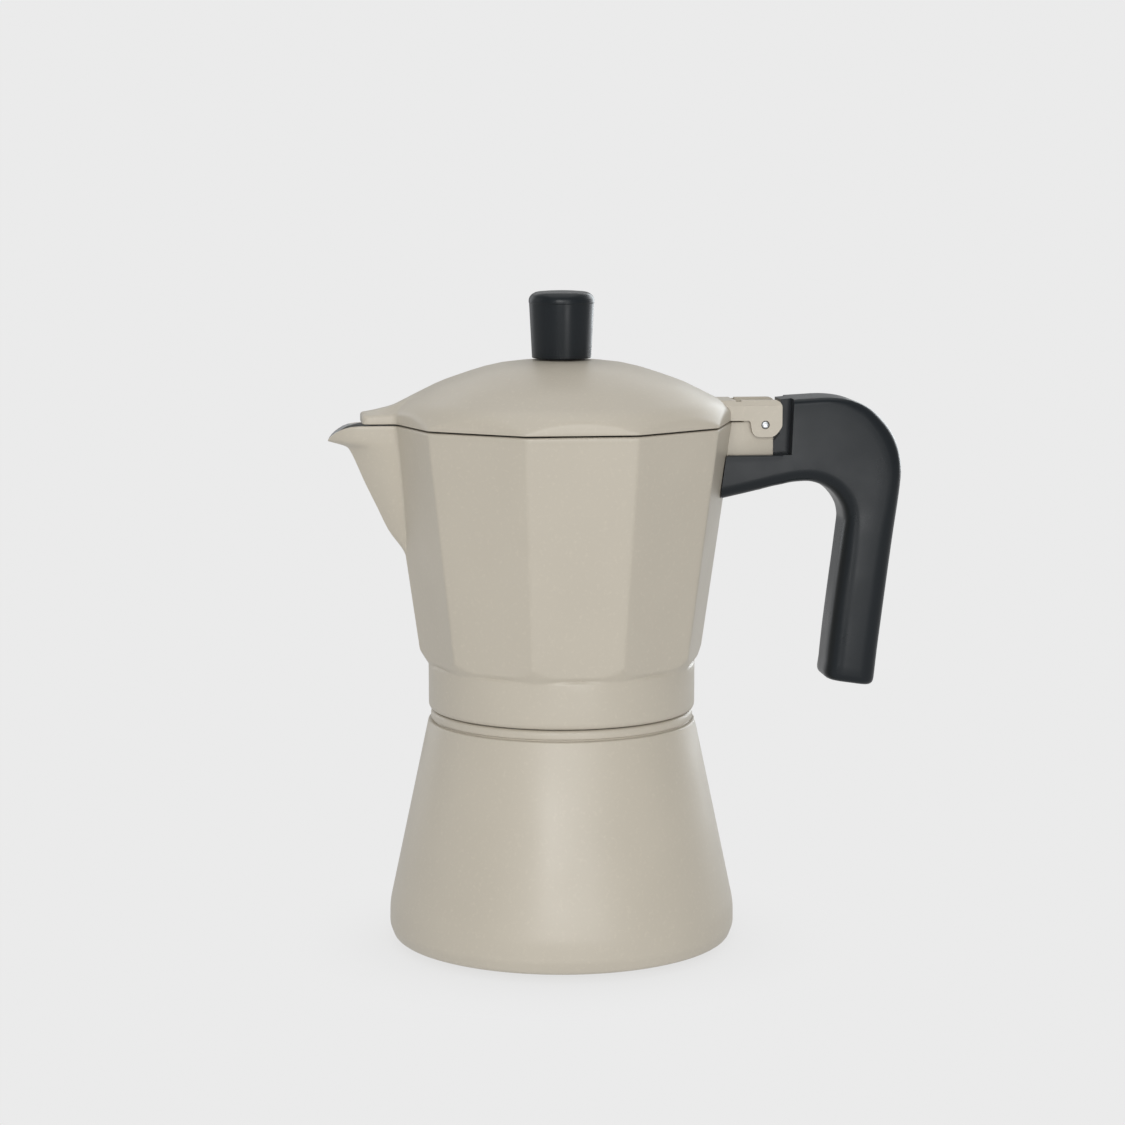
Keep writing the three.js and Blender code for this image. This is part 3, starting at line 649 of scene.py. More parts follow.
def perforated(name, radius, bottom, top, hole, rings_of_holes, spacing):
    """A turned disc cut through by rings of small round holes."""
    disc = turned(name, section((0, bottom), (radius, bottom, 0.2), (radius, top, 0.2), (0, top)), 96)
    bit = drilled("bit", hole, bottom - 1, top + 1, steps=12)
    source = [v.co.copy() for v in bit.data.vertices]
    faces = [tuple(f.vertices) for f in bit.data.polygons]
    places = [(0.0, 0.0)]
    for number in range(1, rings_of_holes + 1):
        for k in range(6 * number):
            angle = math.pi * k / (3 * number)
            places.append((number * spacing * math.cos(angle), number * spacing * math.sin(angle)))
    mesh = bpy.data.meshes.new("bits")
    points = []
    sides = []
    for number, (x, y) in enumerate(places):
        points.extend((p.x + x * MM, p.y + y * MM, p.z) for p in source)
        sides.extend(tuple(v + number * len(source) for v in face) for face in faces)
    mesh.from_pydata(points, [], sides)
    bits = bpy.data.objects.new("bits", mesh)
    bpy.context.scene.collection.objects.link(bits)
    bpy.data.objects.remove(bit, do_unlink=True)
    return with_cuts(disc, bits)


def funnel_parts():
    basket = turned("coffee_basket", section(
        (4.65, 52), (4.65, 49.6), (5.65, 49.6, 0.2), (5.65, 54.5, 1.2), (28.6, 59.6, 1.5),
        (31.0, 61.2, 1.6), (31.0, 83.5, 0.9), (35.2, 83.5, 0.4), (35.2, 84.5, 0.4),
        (30.0, 84.5, 0.9), (30.0, 61.6, 1.2), (27.4, 60.5, 1.2), (6.4, 55.5, 0.8), (4.65, 55.5, 0.3),
        (4.65, 52),
    ), 144)
    tube = turned("funnel_stem", section(
        (3.5, 30), (3.5, 9.2, 0.3), (4.5, 9.0, 0.3), (4.5, 56.0, 0.3), (3.5, 56.0, 0.3), (3.5, 30),
    ), 64)
    return basket, tube


# Collector: a single casting, drawn ring by ring from its bore to the top of its column

FLOOR_UNDER = 89.2
FLOOR_OVER = 92.2
COLLAR = 40.95
COLLAR_BORE = 38.25
FOLD = 150.0
WALL = 3.0
SPOUT_WALL = 1.15
FILLET = 8.0


EDGE_POINTS = 19  # of an outline, from one edge between two sides to the next


def vertex_at(z):
    """Distance from the axis to an edge between two of the ten sides."""
    return RIM_VERTEX - 0.1426 * (RIM - z)


def side_edges(vertex):
    """Corners for rounded() from the edge over the handle round to the one before the spout."""
    return [
        (vertex * math.cos(2 * HALF_SIDE * k), vertex * math.sin(2 * HALF_SIDE * k), 2.6, 4, 14)
        for k in range(5)
    ]


def mirrored(corners):
    """The same corners on the other side of the pot, in the order that goes on round it."""
    return [(x, -y, radius, steps, after) for x, y, radius, steps, after in reversed(corners)]


# Lines of the spout over height: how far its keel reaches out, its half width, how full it is,
# and the lip's height over its place along the spout

KEEL = [
    (100, 43.0), (121.4, 48.0), (128.6, 52.9), (136, 56.5), (143.4, 60.1), (150.5, 63.2), (153.1, 64.5),
    (154.3, 65.4), (154.9, 66.6), (155.5, 68.6), (156.1, 70.6), (156.9, 71.3), (161.3, 71.3),
]
SPOUT_HALF = [(121, 0.35), (124, 1.7), (128.6, 3.0), (137, 4.8), (147, 6.3), (155, 7.3), (161.3, 7.7)]
SPOUT_FULLNESS = [(121, 1.7), (140, 2.0), (150, 2.5), (155, 3.4), (159, 4.6), (161.3, 4.8)]
LIP = [(-71.3, 156.9), (-70.4, 158.0), (-69, 159.2), (-66.7, 160.5), (-64.4, 161.1), (-61.4, 161.3)]
SIDE_SHARES = (0.14, 0.27, 0.39, 0.5, 0.6, 0.69, 0.77, 0.84, 0.9, 0.94, 0.97)


def collector_plan(z, wall=0.0, spout_wall=0.0):
    """Outline at a height: nine edges of the ten sides, and the spout in place of the tenth."""
    vertex = vertex_at(z) - wall / math.cos(HALF_SIDE)
    half = max(0.35, curve_at(SPOUT_HALF, z) - spout_wall)
    root = vertex - half * math.tan(HALF_SIDE)
    reach = max(vertex + 0.02, curve_at(KEEL, z) - 1.3 * spout_wall)
    fullness = curve_at(SPOUT_FULLNESS, z)
    upper = side_edges(vertex)
    side = [(-root, half, 2.4, 4, 0)]
    for share in SIDE_SHARES:
        x = blended(root, reach, share)
        side.append((-x, half * (1 - share**fullness), 0, 0, 0))
    nose = [(-reach, 0, 0.8, 2, 0)]
    lower = mirrored(side)[:-1] + [(-root, -half, 2.4, 4, 14)]
    return rounded(upper + side + nose + lower + mirrored(upper[1:]), closed=True)


def collector_rings():
    heading = [Vector(p).normalized() for p in collector_plan(92)]
    count = len(heading)
    rim_plan = collector_plan(RIM)
    crest = [RIM if x > LIP[-1][0] else curve_at(LIP, x) for x, y in rim_plan]
    plans = {}

    def plan(z, wall, spout_wall):
        key = (round(z, 3), wall, spout_wall)
        if key not in plans:
            plans[key] = collector_plan(z, wall, spout_wall)
        return plans[key]

    def circle(radius, z):
        return [(h.x * radius, h.y * radius, z) for h in heading]

    def level(z, wall=0.0, spout_wall=0.0, limits=None, drop=0.0):
        """A ring at a height; above the fold it is lowered towards the lip of the spout."""
        ring = []
        for i in range(count):
            own = z
            if z > FOLD:
                own = FOLD + (z - FOLD) * (crest[i] - FOLD) / (RIM - FOLD)
            x, y = plan(own, wall, spout_wall)[i]
            if limits is not None:
                radius = math.hypot(x, y)
                kept = soft_min(radius, limits[i], 0.35)
                x, y = x * kept / radius, y * kept / radius
            ring.append((x, y, own - drop))
        return ring

    inner = [
        (0, 139.2), (2.0, 139.0), (2.7, 138.6), (3.0, 137.6), (3.0, 118.0), (3.0, 97.5),
        (3.5, 94.5), (5.7, 89.5), (6.1, FLOOR_UNDER), (12, FLOOR_UNDER), (24, FLOOR_UNDER),
        (37.7, FLOOR_UNDER), (38.1, 89.1), (COLLAR_BORE, 88.8), (COLLAR_BORE, 75.0), (38.35, 74.6),
        (38.7, 73.8), (38.85, 73.55), (39.1, 73.4), (39.3, 73.42), (40.1, 73.6), (40.6, 74.0),
        (40.88, 74.6), (COLLAR, 75.4), (COLLAR, 80), (COLLAR, 84.5), (COLLAR + 0.01, 86.2),
    ]
    rings = [circle(radius, z) for radius, z in inner]
    edge = [0.5 + 0.5 * math.cos(SIDES * math.atan2(h.y, h.x)) for h in heading]
    z = 86.9
    while z < 93.4:
        limits = []
        for share in edge:
            start = blended(88.25, 87.3, share)
            neck = 0.6 * (1 - share) * unit((z - 87.1) / 0.9)
            steep = blended(1.05, 0.62, share)
            limits.append(COLLAR - neck + steep * soft_max(z - start, 0, 0.5))
        rings.append(level(z, limits=limits))
        z += 0.27
    for z in (94.5, 97, 101, 106, 111, 115, 118, 120, 121, 122.2, 123.6, 125.2, 127, 129, 131.5,
              134, 136.5, 139, 141.5, 144, 146.5, 148.5):
        rings.append(level(z))
    upper = [FOLD + 0.42 * k for k in range(24)]
    rings.extend(level(z) for z in upper)
    for wall, drop in ((0.0, 0.8), (0.07, 0.47), (0.2, 0.22), (0.43, 0.06), (0.75, 0.0), (2.5, 0.0),
                       (2.8, 0.1), (2.95, 0.3), (3.0, 0.7)):
        rings.append(level(RIM, wall, wall * SPOUT_WALL / WALL, drop=drop))
    rings.extend(level(z, WALL, SPOUT_WALL) for z in reversed(upper[:-1]))
    for z in (148.5, 146, 143.5, 141, 138.5, 136, 133, 130, 127, 124, 120, 115, 108):
        rings.append(level(z, WALL, SPOUT_WALL))
    for k in range(9):
        rise = FILLET * (1 - math.sin(math.pi / 2 * k / 9))
        radius = 34 + math.sqrt(max(0.0, FILLET**2 - (FILLET - rise) ** 2))
        rings.append(level(FLOOR_OVER + rise, WALL, SPOUT_WALL, [radius + 0.001] * count))
    outer = [
        (33.0, FLOOR_OVER), (22, FLOOR_OVER), (11.5, FLOOR_OVER), (9.9, 92.45), (8.9, 93.3),
        (8.4, 94.8), (7.3, 113), (6.0, 137.9), (5.8, 139.0), (5.2, 140.1), (4.2, 140.9), (2.6, 141.3),
        (0, 141.3),
    ]
    rings.extend(circle(radius, z) for radius, z in outer)
    return rings


def collector_casting():
    body = skinned("collector_casting", collector_rings())
    lug = slab("lug", rounded([
        (50.0, 145.5, 0, 0, 0), (64.4, 145.5, 1.0, 3, 0), (64.4, 157.4, 1.2, 3, 0),
        (66.6, 158.6, 3.0, 5, 0), (66.6, PIN_Z + 5.0, 5.2, 8, 0), (56.8, PIN_Z + 5.0, 5.2, 8, 0),
        (55.2, RIM, 0.5, 2, 0), (50.0, RIM, 0, 0, 0),
    ]), 6.5)
    eased(lug, 0.5)
    with_added(body, lug, thread_ridge("inner_ridge", COLLAR_BORE, 76.75, -1))
    outlets = drilled("outlets", 1.6, -9, 9, (0, 0, 135.3), "Y", 32)
    pin_hole = drilled("pin_hole", PIN_BORE, -8, 8, (PIN_X, 0, PIN_Z), "Y", 32)
    screw_hole = drilled("screw_hole", BOLT_BORE, 140, 154.5, (BOLT_X, 0, 0), steps=32)
    return with_cuts(body, outlets, pin_hole, screw_hole)


# Lid, pin and knob

LID_FOOT = 161.8
LID_WALL = 2.0
LID_ROUNDING = 0.75
TONGUE_HALF = 7.7
TONGUE_END = 61.1
TAB_TOP = 167.9
TAB_HALF = 8.5
DOME = [
    (0, 180.6), (8, 180.35), (20.5, 178.95), (27.3, 177.05), (32.6, 175.25), (37.5, 173.45),
    (41.2, 171.65), (45.0, 169.75), (47.7, 168.3), (50.0, 166.5), (53.6, 162.5), (60, 155.0),
]
RIDGE = [(-61.1, 164.85), (-56.5, 165.7), (-51.4, 167.0), (-47.7, 168.5), (-40, 170.6)]


def lid_plan(inset):
    vertex = RIM_VERTEX - inset / math.cos(HALF_SIDE)
    half = TONGUE_HALF - inset
    root = vertex - half * math.tan(HALF_SIDE)
    end = TONGUE_END - inset
    upper = side_edges(vertex)
    tongue = [
        (-root, half, 2.0, 3, 8), (-end, half, 2.4, 5, 12),
        (-end, -half, 2.4, 5, 8), (-root, -half, 2.0, 3, 14),
    ]
    return rounded(upper + tongue + mirrored(upper[1:]), closed=True)


def lid_height(x, y):
    """Top of the lid: the dome, and the ridge of the tongue that runs out over the spout."""
    dome = curve_at(DOME, math.hypot(x, y))
    if x > -36:
        return dome
    across = abs(y)
    ridge = curve_at(RIDGE, x)
    shoulder = 164.4
    if across > TONGUE_HALF:
        tongue = shoulder - 2.5 * (across - TONGUE_HALF)
    else:
        tongue = blended(ridge, shoulder, unit((across - 2.2) / (TONGUE_HALF - 2.2)))
    return soft_max(dome, tongue, 1.6)


def edge_distance(plan, index, x, y):
    """Distance from a point to the nearest stretch of an outline."""
    count = len(plan)
    best = 99.0
    here = Vector((x, y))
    for k in range(index - 10, index + 10):
        a = Vector(plan[k % count])
        b = Vector(plan[(k + 1) % count])
        run = b - a
        if run.length_squared < 1e-12:
            continue
        t = unit((here - a).dot(run) / run.length_squared)
        best = min(best, (here - a - run * t).length)
    return best


def lid_rings():
    outer = lid_plan(0.0)
    inner = lid_plan(LID_WALL)
    count = len(outer)
    first = 5 * EDGE_POINTS
    last = count - 4 * EDGE_POINTS - 14
    tongue_columns = range(first, last)
    lengths = [0.0]
    for i in range(first, last - 1):
        lengths.append(lengths[-1] + (Vector(outer[i + 1]) - Vector(outer[i])).length)

    def core(i, plan, scale, half):
        """The matching point of a plain ten-sided outline well inside the edge."""
        if i not in tongue_columns:
            return (plan[i][0] * scale, plan[i][1] * scale)
        y = half * scale * (1 - 2 * lengths[i - first] / lengths[-1])
        vertex = max(abs(p[0]) for p in plan if p[0] > 0) * scale
        return (-(vertex - abs(y) * math.tan(HALF_SIDE)), y)

    def surface(plan, half, lift, radius):
        cores = [core(i, plan, 0.86, half) for i in range(count)]
        rings = []
        for share in (0, 0.1, 0.2, 0.32, 0.44, 0.55, 0.65, 0.74, 0.82, 0.89, 0.95, 1):
            rings.append([
                (x * share, y * share, lid_height(x * share, y * share) + lift) for x, y in cores
            ])
        for share in (0.12, 0.24, 0.36, 0.47, 0.57, 0.66, 0.74, 0.81, 0.87, 0.92, 0.96, 0.985, 1):
            ring = []
            for i in range(count):
                x = blended(cores[i][0], plan[i][0], share)
                y = blended(cores[i][1], plan[i][1], share)
                z = lid_height(x, y) + lift
                if radius:
                    reach = min(radius, 0.55 * (lid_height(*plan[i]) - LID_FOOT))
                    gap = edge_distance(plan, i, x, y) if share < 1 else 0.0
                    if gap < reach:
                        z -= reach - math.sqrt(reach**2 - (reach - gap) ** 2)
                ring.append((x, y, max(z, LID_FOOT + 0.1)))
            rings.append(ring)
        return rings

    skin = surface(outer, TONGUE_HALF, 0.0, LID_ROUNDING)
    brink = skin[-1]
    for share in (0.35, 0.7):
        skin.append([(x, y, blended(z, LID_FOOT + 0.25, share)) for x, y, z in brink])
    for inset, rise in ((0.0, 0.25), (0.09, 0.08), (0.25, 0.0), (1.75, 0.0), (1.93, 0.08), (2.0, 0.2)):
        skin.append([(x, y, LID_FOOT + rise) for x, y in lid_plan(inset)])
    skin.extend(reversed(surface(inner, TONGUE_HALF - LID_WALL, -LID_WALL, 0.0)))
    return skin


def lid_shell():
    lid = skinned("lid_shell", lid_rings())
    tab = slab("tab", rounded([
        (46.0, LID_FOOT, 0, 0, 0), (56.9, LID_FOOT, 0.9, 4, 0), (57.7, 156.75, 4.2, 8, 0),
        (64.5, 156.75, 3.0, 6, 0), (66.8, 159.8, 2.5, 5, 0), (66.8, TAB_TOP, 2.3, 8, 0),
        (46.0, TAB_TOP, 0, 0, 0),
    ]), TAB_HALF)
    roof = skinned("roof", [
        [(x, y, z) for y, z in ((-TAB_HALF, 150), (TAB_HALF, 150), (TAB_HALF, 166.3), (6.8, 168.0),
                                (-6.8, 168.0), (-TAB_HALF, 166.3))]
        for x in (40, 72)
    ])
    combined(tab, roof, "INTERSECT")
    with_added(lid, tab)
    channel = slab("channel", [(55.1, 150), (82, 150), (82, 165.75), (55.1, 165.75)], LUG_ROOM)
    slot = slab("slot", [(52.63, 163.95), (82, 163.95), (82, 172), (52.63, 172)], 5.0)
    pin_hole = drilled("pin_hole", PIN_BORE, -12, 12, (PIN_X, 0, PIN_Z), "Y", 32)
    screw_hole = drilled("screw_hole", LID_SCREW_BORE, 170, 190, steps=32)
    nick = slab("nick", [(52.7, 166.9), (54.3, 166.9), (54.3, 170), (52.7, 170)], 7.3)
    return with_cuts(lid, channel, slot, nick, pin_hole, screw_hole)


def cross_screw(name, radius, head, bottom, head_top, shank_top, x=0.0):
    """A pan-head screw standing on its head, with a cross recess underneath."""
    screw = turned(name, section(
        (0, bottom), (0.72 * head, bottom, 0.4), (head, bottom + 0.9, 0.5), (head, head_top, 0.15),
        (radius, head_top), (radius, shank_top - 0.5), (radius - 0.5, shank_top), (0, shank_top),
    ), 64, place=(x, 0, 0))
    reach = 0.55 * head
    low = slab("recess_a", [
        (x - reach, bottom - 1), (x + reach, bottom - 1), (x + 0.3 * reach, bottom + 1.4),
        (x - 0.3 * reach, bottom + 1.4),
    ], 0.42)
    cross = skinned("recess_b", [
        [(x + side, y, z) for y, z in ((-reach, bottom - 1), (reach, bottom - 1),
                                       (0.3 * reach, bottom + 1.4), (-0.3 * reach, bottom + 1.4))]
        for side in (-0.42, 0.42)
    ])
    return with_cuts(screw, low, cross)


def washer(name, outer, inner, bottom, top, x=0.0):
    middle = 0.5 * (bottom + top)
    return turned(name, section(
        (inner, middle), (inner, bottom, 0.12), (outer, bottom, 0.2), (outer, top, 0.2),
        (inner, top, 0.12), (inner, middle),
    ), 72, place=(x, 0, 0))


def knob_pieces():
    profile = section(
        (0, KNOB_FOOT), (9.0, KNOB_FOOT, 0.35), (9.86, 197.5, 0.12), (9.98, 197.75, 0.12),
        (10.0, 198.2),
    )
    for k in range(1, 13):
        angle = math.pi * k / 24
        profile.append((6.6 + 3.4 * math.cos(angle), 198.2 + 2.8 * math.sin(angle)))
    profile.extend([(5.0, 201.14), (2.5, 201.27), (0, KNOB_TOP)])
    knob = turned("knob_cap", profile, 144)
    with_cuts(knob, drilled("pocket", 3.55, 170, 192.45))
    insert_rings = []
    for z, low, high in ((181.3, 2.9, 2.9), (181.6, 3.2, 3.4), (185.8, 3.2, 3.4), (186.1, 2.9, 2.9),
                         (187.5, 2.9, 2.9), (187.8, 3.2, 3.4), (192.0, 3.2, 3.4), (192.3, 2.9, 2.9)):
        ring = []
        for k in range(72):
            radius = high if k % 2 else low
            angle = 2 * math.pi * k / 72
            ring.append((radius * math.cos(angle), radius * math.sin(angle), z))
        insert_rings.append(ring)
    tap = drilled("tap", LID_SCREW_BORE, 170, 191.3)
    insert = with_cuts(skinned("knurled_insert", insert_rings), tap)
    screw = cross_screw("lid_screw", 2.0, 3.8, 175.2, 177.2, 189.8)
    return knob, insert, screw, washer("lid_washer", 5.0, LID_SCREW_BORE, 177.5, 178.3)


# Handle: an outer and an inner line of (x, height) stations, from the arm's root to the grip's end

GRIP_HALF = 9.75
GRIP_TRIM = 1.3
STATIONS = [
    ((66.9, 168.4), (66.9, 141.4)), ((70.5, 168.7), (69.2, 141.9)), ((74.2, 168.9), (71.6, 142.2)),
    ((81.1, 169.2), (75.6, 142.3)), ((86.7, 168.7), (78.6, 141.5)), ((91.2, 167.4), (80.8, 140.3)),
    ((95.2, 165.4), (82.4, 139.0)), ((98.4, 162.8), (83.7, 137.4)), ((101.3, 159.8), (84.7, 135.7)),
    ((103.8, 156.1), (85.4, 133.9)), ((105.3, 151.8), (85.8, 132.2)), ((105.9, 147.4), (86.0, 130.6)),
    ((105.8, 143.4), (85.9, 129.0)), ((105.1, 137.0), (85.6, 126.8)), ((104.0, 129.0), (85.1, 122.8)),
    ((102.9, 120.5), (84.5, 118.0)), ((101.6, 110.0), (83.3, 108.6)), ((100.2, 98.6), (82.0, 97.8)),
    ((99.2, 90.3), (81.2, 90.0)), ((98.2, 80.5), (80.7, 84.4)),
]
END_OUTER = (96.75, 78.8)
END_INNER = (81.1, 81.2)
ARM_EDGE = (2.3, 4.2)
GRIP_EDGE = (5.0, 5.4)
GRIP_CROWN = 0.035


def grip_section(outer, inner, half, outside, inside, crown):
    """A crowned section from the outer to the inner line, with the radii of its edges."""
    high = Vector(outer)
    low = Vector(inner)
    middle = (high + low) / 2
    reach = (high - low).length / 2
    way = (high - low).normalized()
    corners = [
        (reach, half, outside, 8, 6), (-reach, half, inside, 8, 3),
        (-reach, -half, inside, 8, 6), (reach, -half, outside, 8, 3),
    ]
    ring = []
    for u, v in rounded(corners, closed=True):
        v *= 1 - crown * (u / reach) ** 2
        place = middle + way * u
        ring.append((place.x, v, place.y))
    return ring


def station_at(line, i):
    """Point of the outer (0) or the inner (1) line, i stations along it."""
    place = []
    for axis in (0, 1):
        place.append(curve_at([(n, station[line][axis]) for n, station in enumerate(STATIONS)], i))
    return Vector(place)


def handle_grip():
    rings = []
    for k in range(3 * (len(STATIONS) - 1)):
        i = k / 3
        down = unit((i - 3) / 6)
        outer = station_at(0, i) + Vector((-GRIP_TRIM * down, -0.45))
        inner = station_at(1, i) + Vector((0.65 * GRIP_TRIM * down, 0.5))
        outside = blended(ARM_EDGE[0], GRIP_EDGE[0], down)
        inside = blended(ARM_EDGE[1], GRIP_EDGE[1], down)
        crown = GRIP_CROWN * unit((i - 1) / 8)
        rings.append(grip_section(outer, inner, GRIP_HALF, outside, inside, crown))
    way = (Vector(END_INNER) - Vector(END_OUTER)).normalized()
    for rise, inset in ((2.5, 0.0), (1.62, 0.1), (1.0, 0.32), (0.57, 0.68), (0.25, 1.15),
                        (0.06, 1.75), (0.0, 2.5)):
        outer = (END_OUTER[0] + 0.1 * rise + way.x * inset, END_OUTER[1] + rise + way.y * inset)
        inner = (END_INNER[0] + 0.07 * rise - way.x * inset, END_INNER[1] + rise - way.y * inset)
        sides = (GRIP_HALF - inset, GRIP_EDGE[0] - inset, GRIP_EDGE[1] - inset)
        rings.append(grip_section(outer, inner, *sides, GRIP_CROWN))
    return skinned("grip", rings)


def handle_arm():
    rings = []
    for x, bottom in ((46.0, 137.3), (50.1, 138.2), (55, 139.25), (60.1, 140.4), (64, 141.35),
                      (66.9, 141.9), (69.2, 142.4)):
        corners = [
            (-GRIP_HALF, bottom, 4.2, 8, 3), (GRIP_HALF, bottom, 4.2, 8, 3),
            (GRIP_HALF, 151.2, 0.7, 3, 1), (-GRIP_HALF, 151.2, 0.7, 3, 3),
        ]
        rings.append([(x, y, z) for y, z in rounded(corners, closed=True)])
    return skinned("arm", rings)


def handle_shape():
    handle = with_added(handle_grip(), handle_arm())
    nose = slab("nose", [
        (64.7, 145.5), (70.6, 145.5), (70.6, PIN_Z), (66.9, PIN_Z), (66.9, PIN_Z - 3),
        (64.7, PIN_Z - 5.4),
    ], 4.7)
    with_added(handle, nose)
    recess = [(30, 151.25), (69.57, 151.25), (70.37, 171.3), (30, 171.3)]
    sides_of_pot = []
    for z in (120, 162):
        reach = vertex_at(z) + 0.4
        turns = [2 * HALF_SIDE * k for k in range(SIDES)]
        sides_of_pot.append([(reach * math.cos(a), reach * math.sin(a), z) for a in turns])
    ten_sides = skinned("ten_sides", sides_of_pot)
    lug_room = slab("lug_room", [(40, 145.2), (64.7, 145.2), (64.7, 180), (40, 180)], LUG_ROOM)
    return with_cuts(
        handle, ten_sides, lug_room,
        slab("recess_front", recess, 15, -19.7), slab("recess_back", recess, 15, 19.7),
        drilled("screw_way", BOLT_BORE, 120, 146, (BOLT_X, 0, 0), steps=32),
        drilled("screw_pit", 5.35, 120, 143.3, (BOLT_X, 0, 0)),
    )


# Settings


def colour_setting(name, description, default):
    return bpy.props.FloatVectorProperty(
        name=name, description=description, subtype="COLOR", size=3, min=0, max=1, default=default,
    )


def length_setting(name, description, low, high, default):
    return bpy.props.FloatProperty(
        name=name, description=description, subtype="DISTANCE", unit="LENGTH",
        min=low, max=high, default=default,
    )


class MokaPotColours(bpy.types.PropertyGroup):
    casting: colour_setting(
        "Castings", "Powder coat on the boiler, collector and lid", (0.498, 0.455, 0.378),
    )
    plastic: colour_setting("Grip and knob", "Heat-proof moulded plastic", (0.0085, 0.0112, 0.0138))
    aluminium: colour_setting(
        "Bare metal", "Funnel, filter plate, screen and uncoated insides", (0.60, 0.61, 0.62),
    )
    brass: colour_setting("Brass", "Safety valve and threaded insert", (0.62, 0.45, 0.17))
    steel: colour_setting("Steel", "Hinge pin, screws, washers and spring", (0.40, 0.41, 0.42))
    seal: colour_setting("Seals", "Gasket and the valve's washer", (0.66, 0.63, 0.56))
    floor: colour_setting("Floor", "Pale floor and background", (0.83, 0.83, 0.83))


class MokaPotSizes(bpy.types.PropertyGroup):
    spring_wire: length_setting(
        "Spring wire", "Thickness of the valve spring's wire", 0.0002, 0.001, 0.00056,
    )
    filter_hole: length_setting(
        "Filter holes", "Diameter of the holes in the filter plate", 0.0004, 0.003, 0.0011,
    )
    screen_hole: length_setting(
        "Screen holes", "Diameter of the holes under the coffee", 0.0004, 0.003, 0.0012,
    )
    camera_distance: length_setting(
        "Camera distance", "Level distance from the pot's axis to the camera", 0.3, 5, 0.912,
    )
    camera_height: length_setting(
        "Camera height", "Height of the camera over the floor", 0, 3, 0.245,
    )
    camera_turn: bpy.props.FloatProperty(
        name="Camera turn", description="How far the camera stands round towards the spout",
        subtype="ANGLE", unit="ROTATION", default=math.radians(6.9),
    )


# Operators


class MOKAPOT_OT_boiler(bpy.types.Operator):
    """Turns the water boiler with its screwed neck and valve boss"""

    bl_idname = "mokapot.boiler"
    bl_label = "Boiler"

    def execute(self, context):
        boiler = finished(boiler_body(), "boiler_body", "coated_casting", "boiler")
        bare_inside(boiler, inside_boiler)
        return {"FINISHED"}


class MOKAPOT_OT_valve(bpy.types.Operator):
    """Makes the safety valve: housing, seal ring, pin, spring and plug"""

    bl_idname = "mokapot.valve"
    bl_label = "Safety valve"

    def execute(self, context):
        wire = context.scene.moka_pot_sizes.spring_wire / MM / 2
        body, ring, pin, plug = valve_pieces()
        spring = coil_spring("valve_coil", SPRING_START, SPRING_END, SPRING_RADIUS, wire, SPRING_TURNS)
        finished(body, "boiler_body", "brass", "valve_body")
        finished(ring, "boiler_body", "seal", "valve_washer")
        finished(pin, "valve_poppet", "steel", "valve_piston")
        finished(spring, "boiler_body", "steel", "valve_spring")
        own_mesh(spring)
        finished(plug, "boiler_body", "brass", "valve_plug")
        return {"FINISHED"}


class MOKAPOT_OT_funnel(bpy.types.Operator):
    """Makes the coffee funnel: pressed basket, stem and screen"""

    bl_idname = "mokapot.funnel"
    bl_label = "Coffee funnel"

    def execute(self, context):
        hole = context.scene.moka_pot_sizes.screen_hole / MM / 2
        basket, tube = funnel_parts()
        screen = perforated("basket_sieve", 28.0, 61.3, 62.3, hole, 8, 3.1)
        finished(basket, "funnel", "bare_aluminium", "funnel_basket")
        finished(tube, "funnel", "bare_aluminium", "funnel_tube")
        finished(screen, "funnel", "bare_aluminium", "basket_screen")
        return {"FINISHED"}


class MOKAPOT_OT_seal(bpy.types.Operator):
    """Makes the gasket ring and the perforated filter plate over it"""

    bl_idname = "mokapot.seal"
    bl_label = "Gasket and filter"

    def execute(self, context):
        hole = context.scene.moka_pot_sizes.filter_hole / MM / 2
        gasket = turned("seal_ring", section(
            (31.55, 86.2), (31.55, 84.8, 0.5), (37.95, 84.8, 0.6), (37.95, 87.6, 0.6),
            (31.55, 87.6, 0.5), (31.55, 86.2),
        ), 144)
        plate = perforated("filter_disc", 36.5, 87.9, 88.9, hole, 9, 3.0)
        finished(gasket, "seal", "seal", "gasket")
        finished(plate, "seal", "bare_aluminium", "filter_plate")
        return {"FINISHED"}


class MOKAPOT_OT_collector(bpy.types.Operator):
    """Casts the ten-sided collector with its spout, column and hinge lug"""

    bl_idname = "mokapot.collector"
    bl_label = "Collector"

    def execute(self, context):
        casting = finished(collector_casting(), "upper_pot", "coated_casting", "collector")
        bare_inside(casting, inside_collector)
        return {"FINISHED"}


class MOKAPOT_OT_lid(bpy.types.Operator):
    """Makes the domed lid and the pin that it turns on"""

    bl_idname = "mokapot.lid"
    bl_label = "Lid"

    def execute(self, context):
        pin = turned("lid_pin", section(
            (0, -8.5), (0.95, -8.43, 0.3), (1.27, -8.2, 0.2), (1.27, 8.2, 0.2), (0.95, 8.43, 0.3),
            (0, 8.5),
        ), 40, "Y", (PIN_X, 0, PIN_Z))
        finished(lid_shell(), "lid_group", "coated_casting", "lid")
        finished(pin, "lid_group", "steel", "hinge_pin")
        return {"FINISHED"}


class MOKAPOT_OT_knob(bpy.types.Operator):
    """Makes the knob, its threaded insert, and the screw and washer that hold it"""

    bl_idname = "mokapot.knob"
    bl_label = "Knob"

    def execute(self, context):
        knob, insert, screw, ring = knob_pieces()
        finished(knob, "lid_group", "black_plastic", "knob")
        finished(insert, "lid_group", "brass", "knob_insert", 20)
        finished(screw, "lid_group", "steel", "knob_screw")
        finished(ring, "lid_group", "steel", "knob_washer")
        return {"FINISHED"}


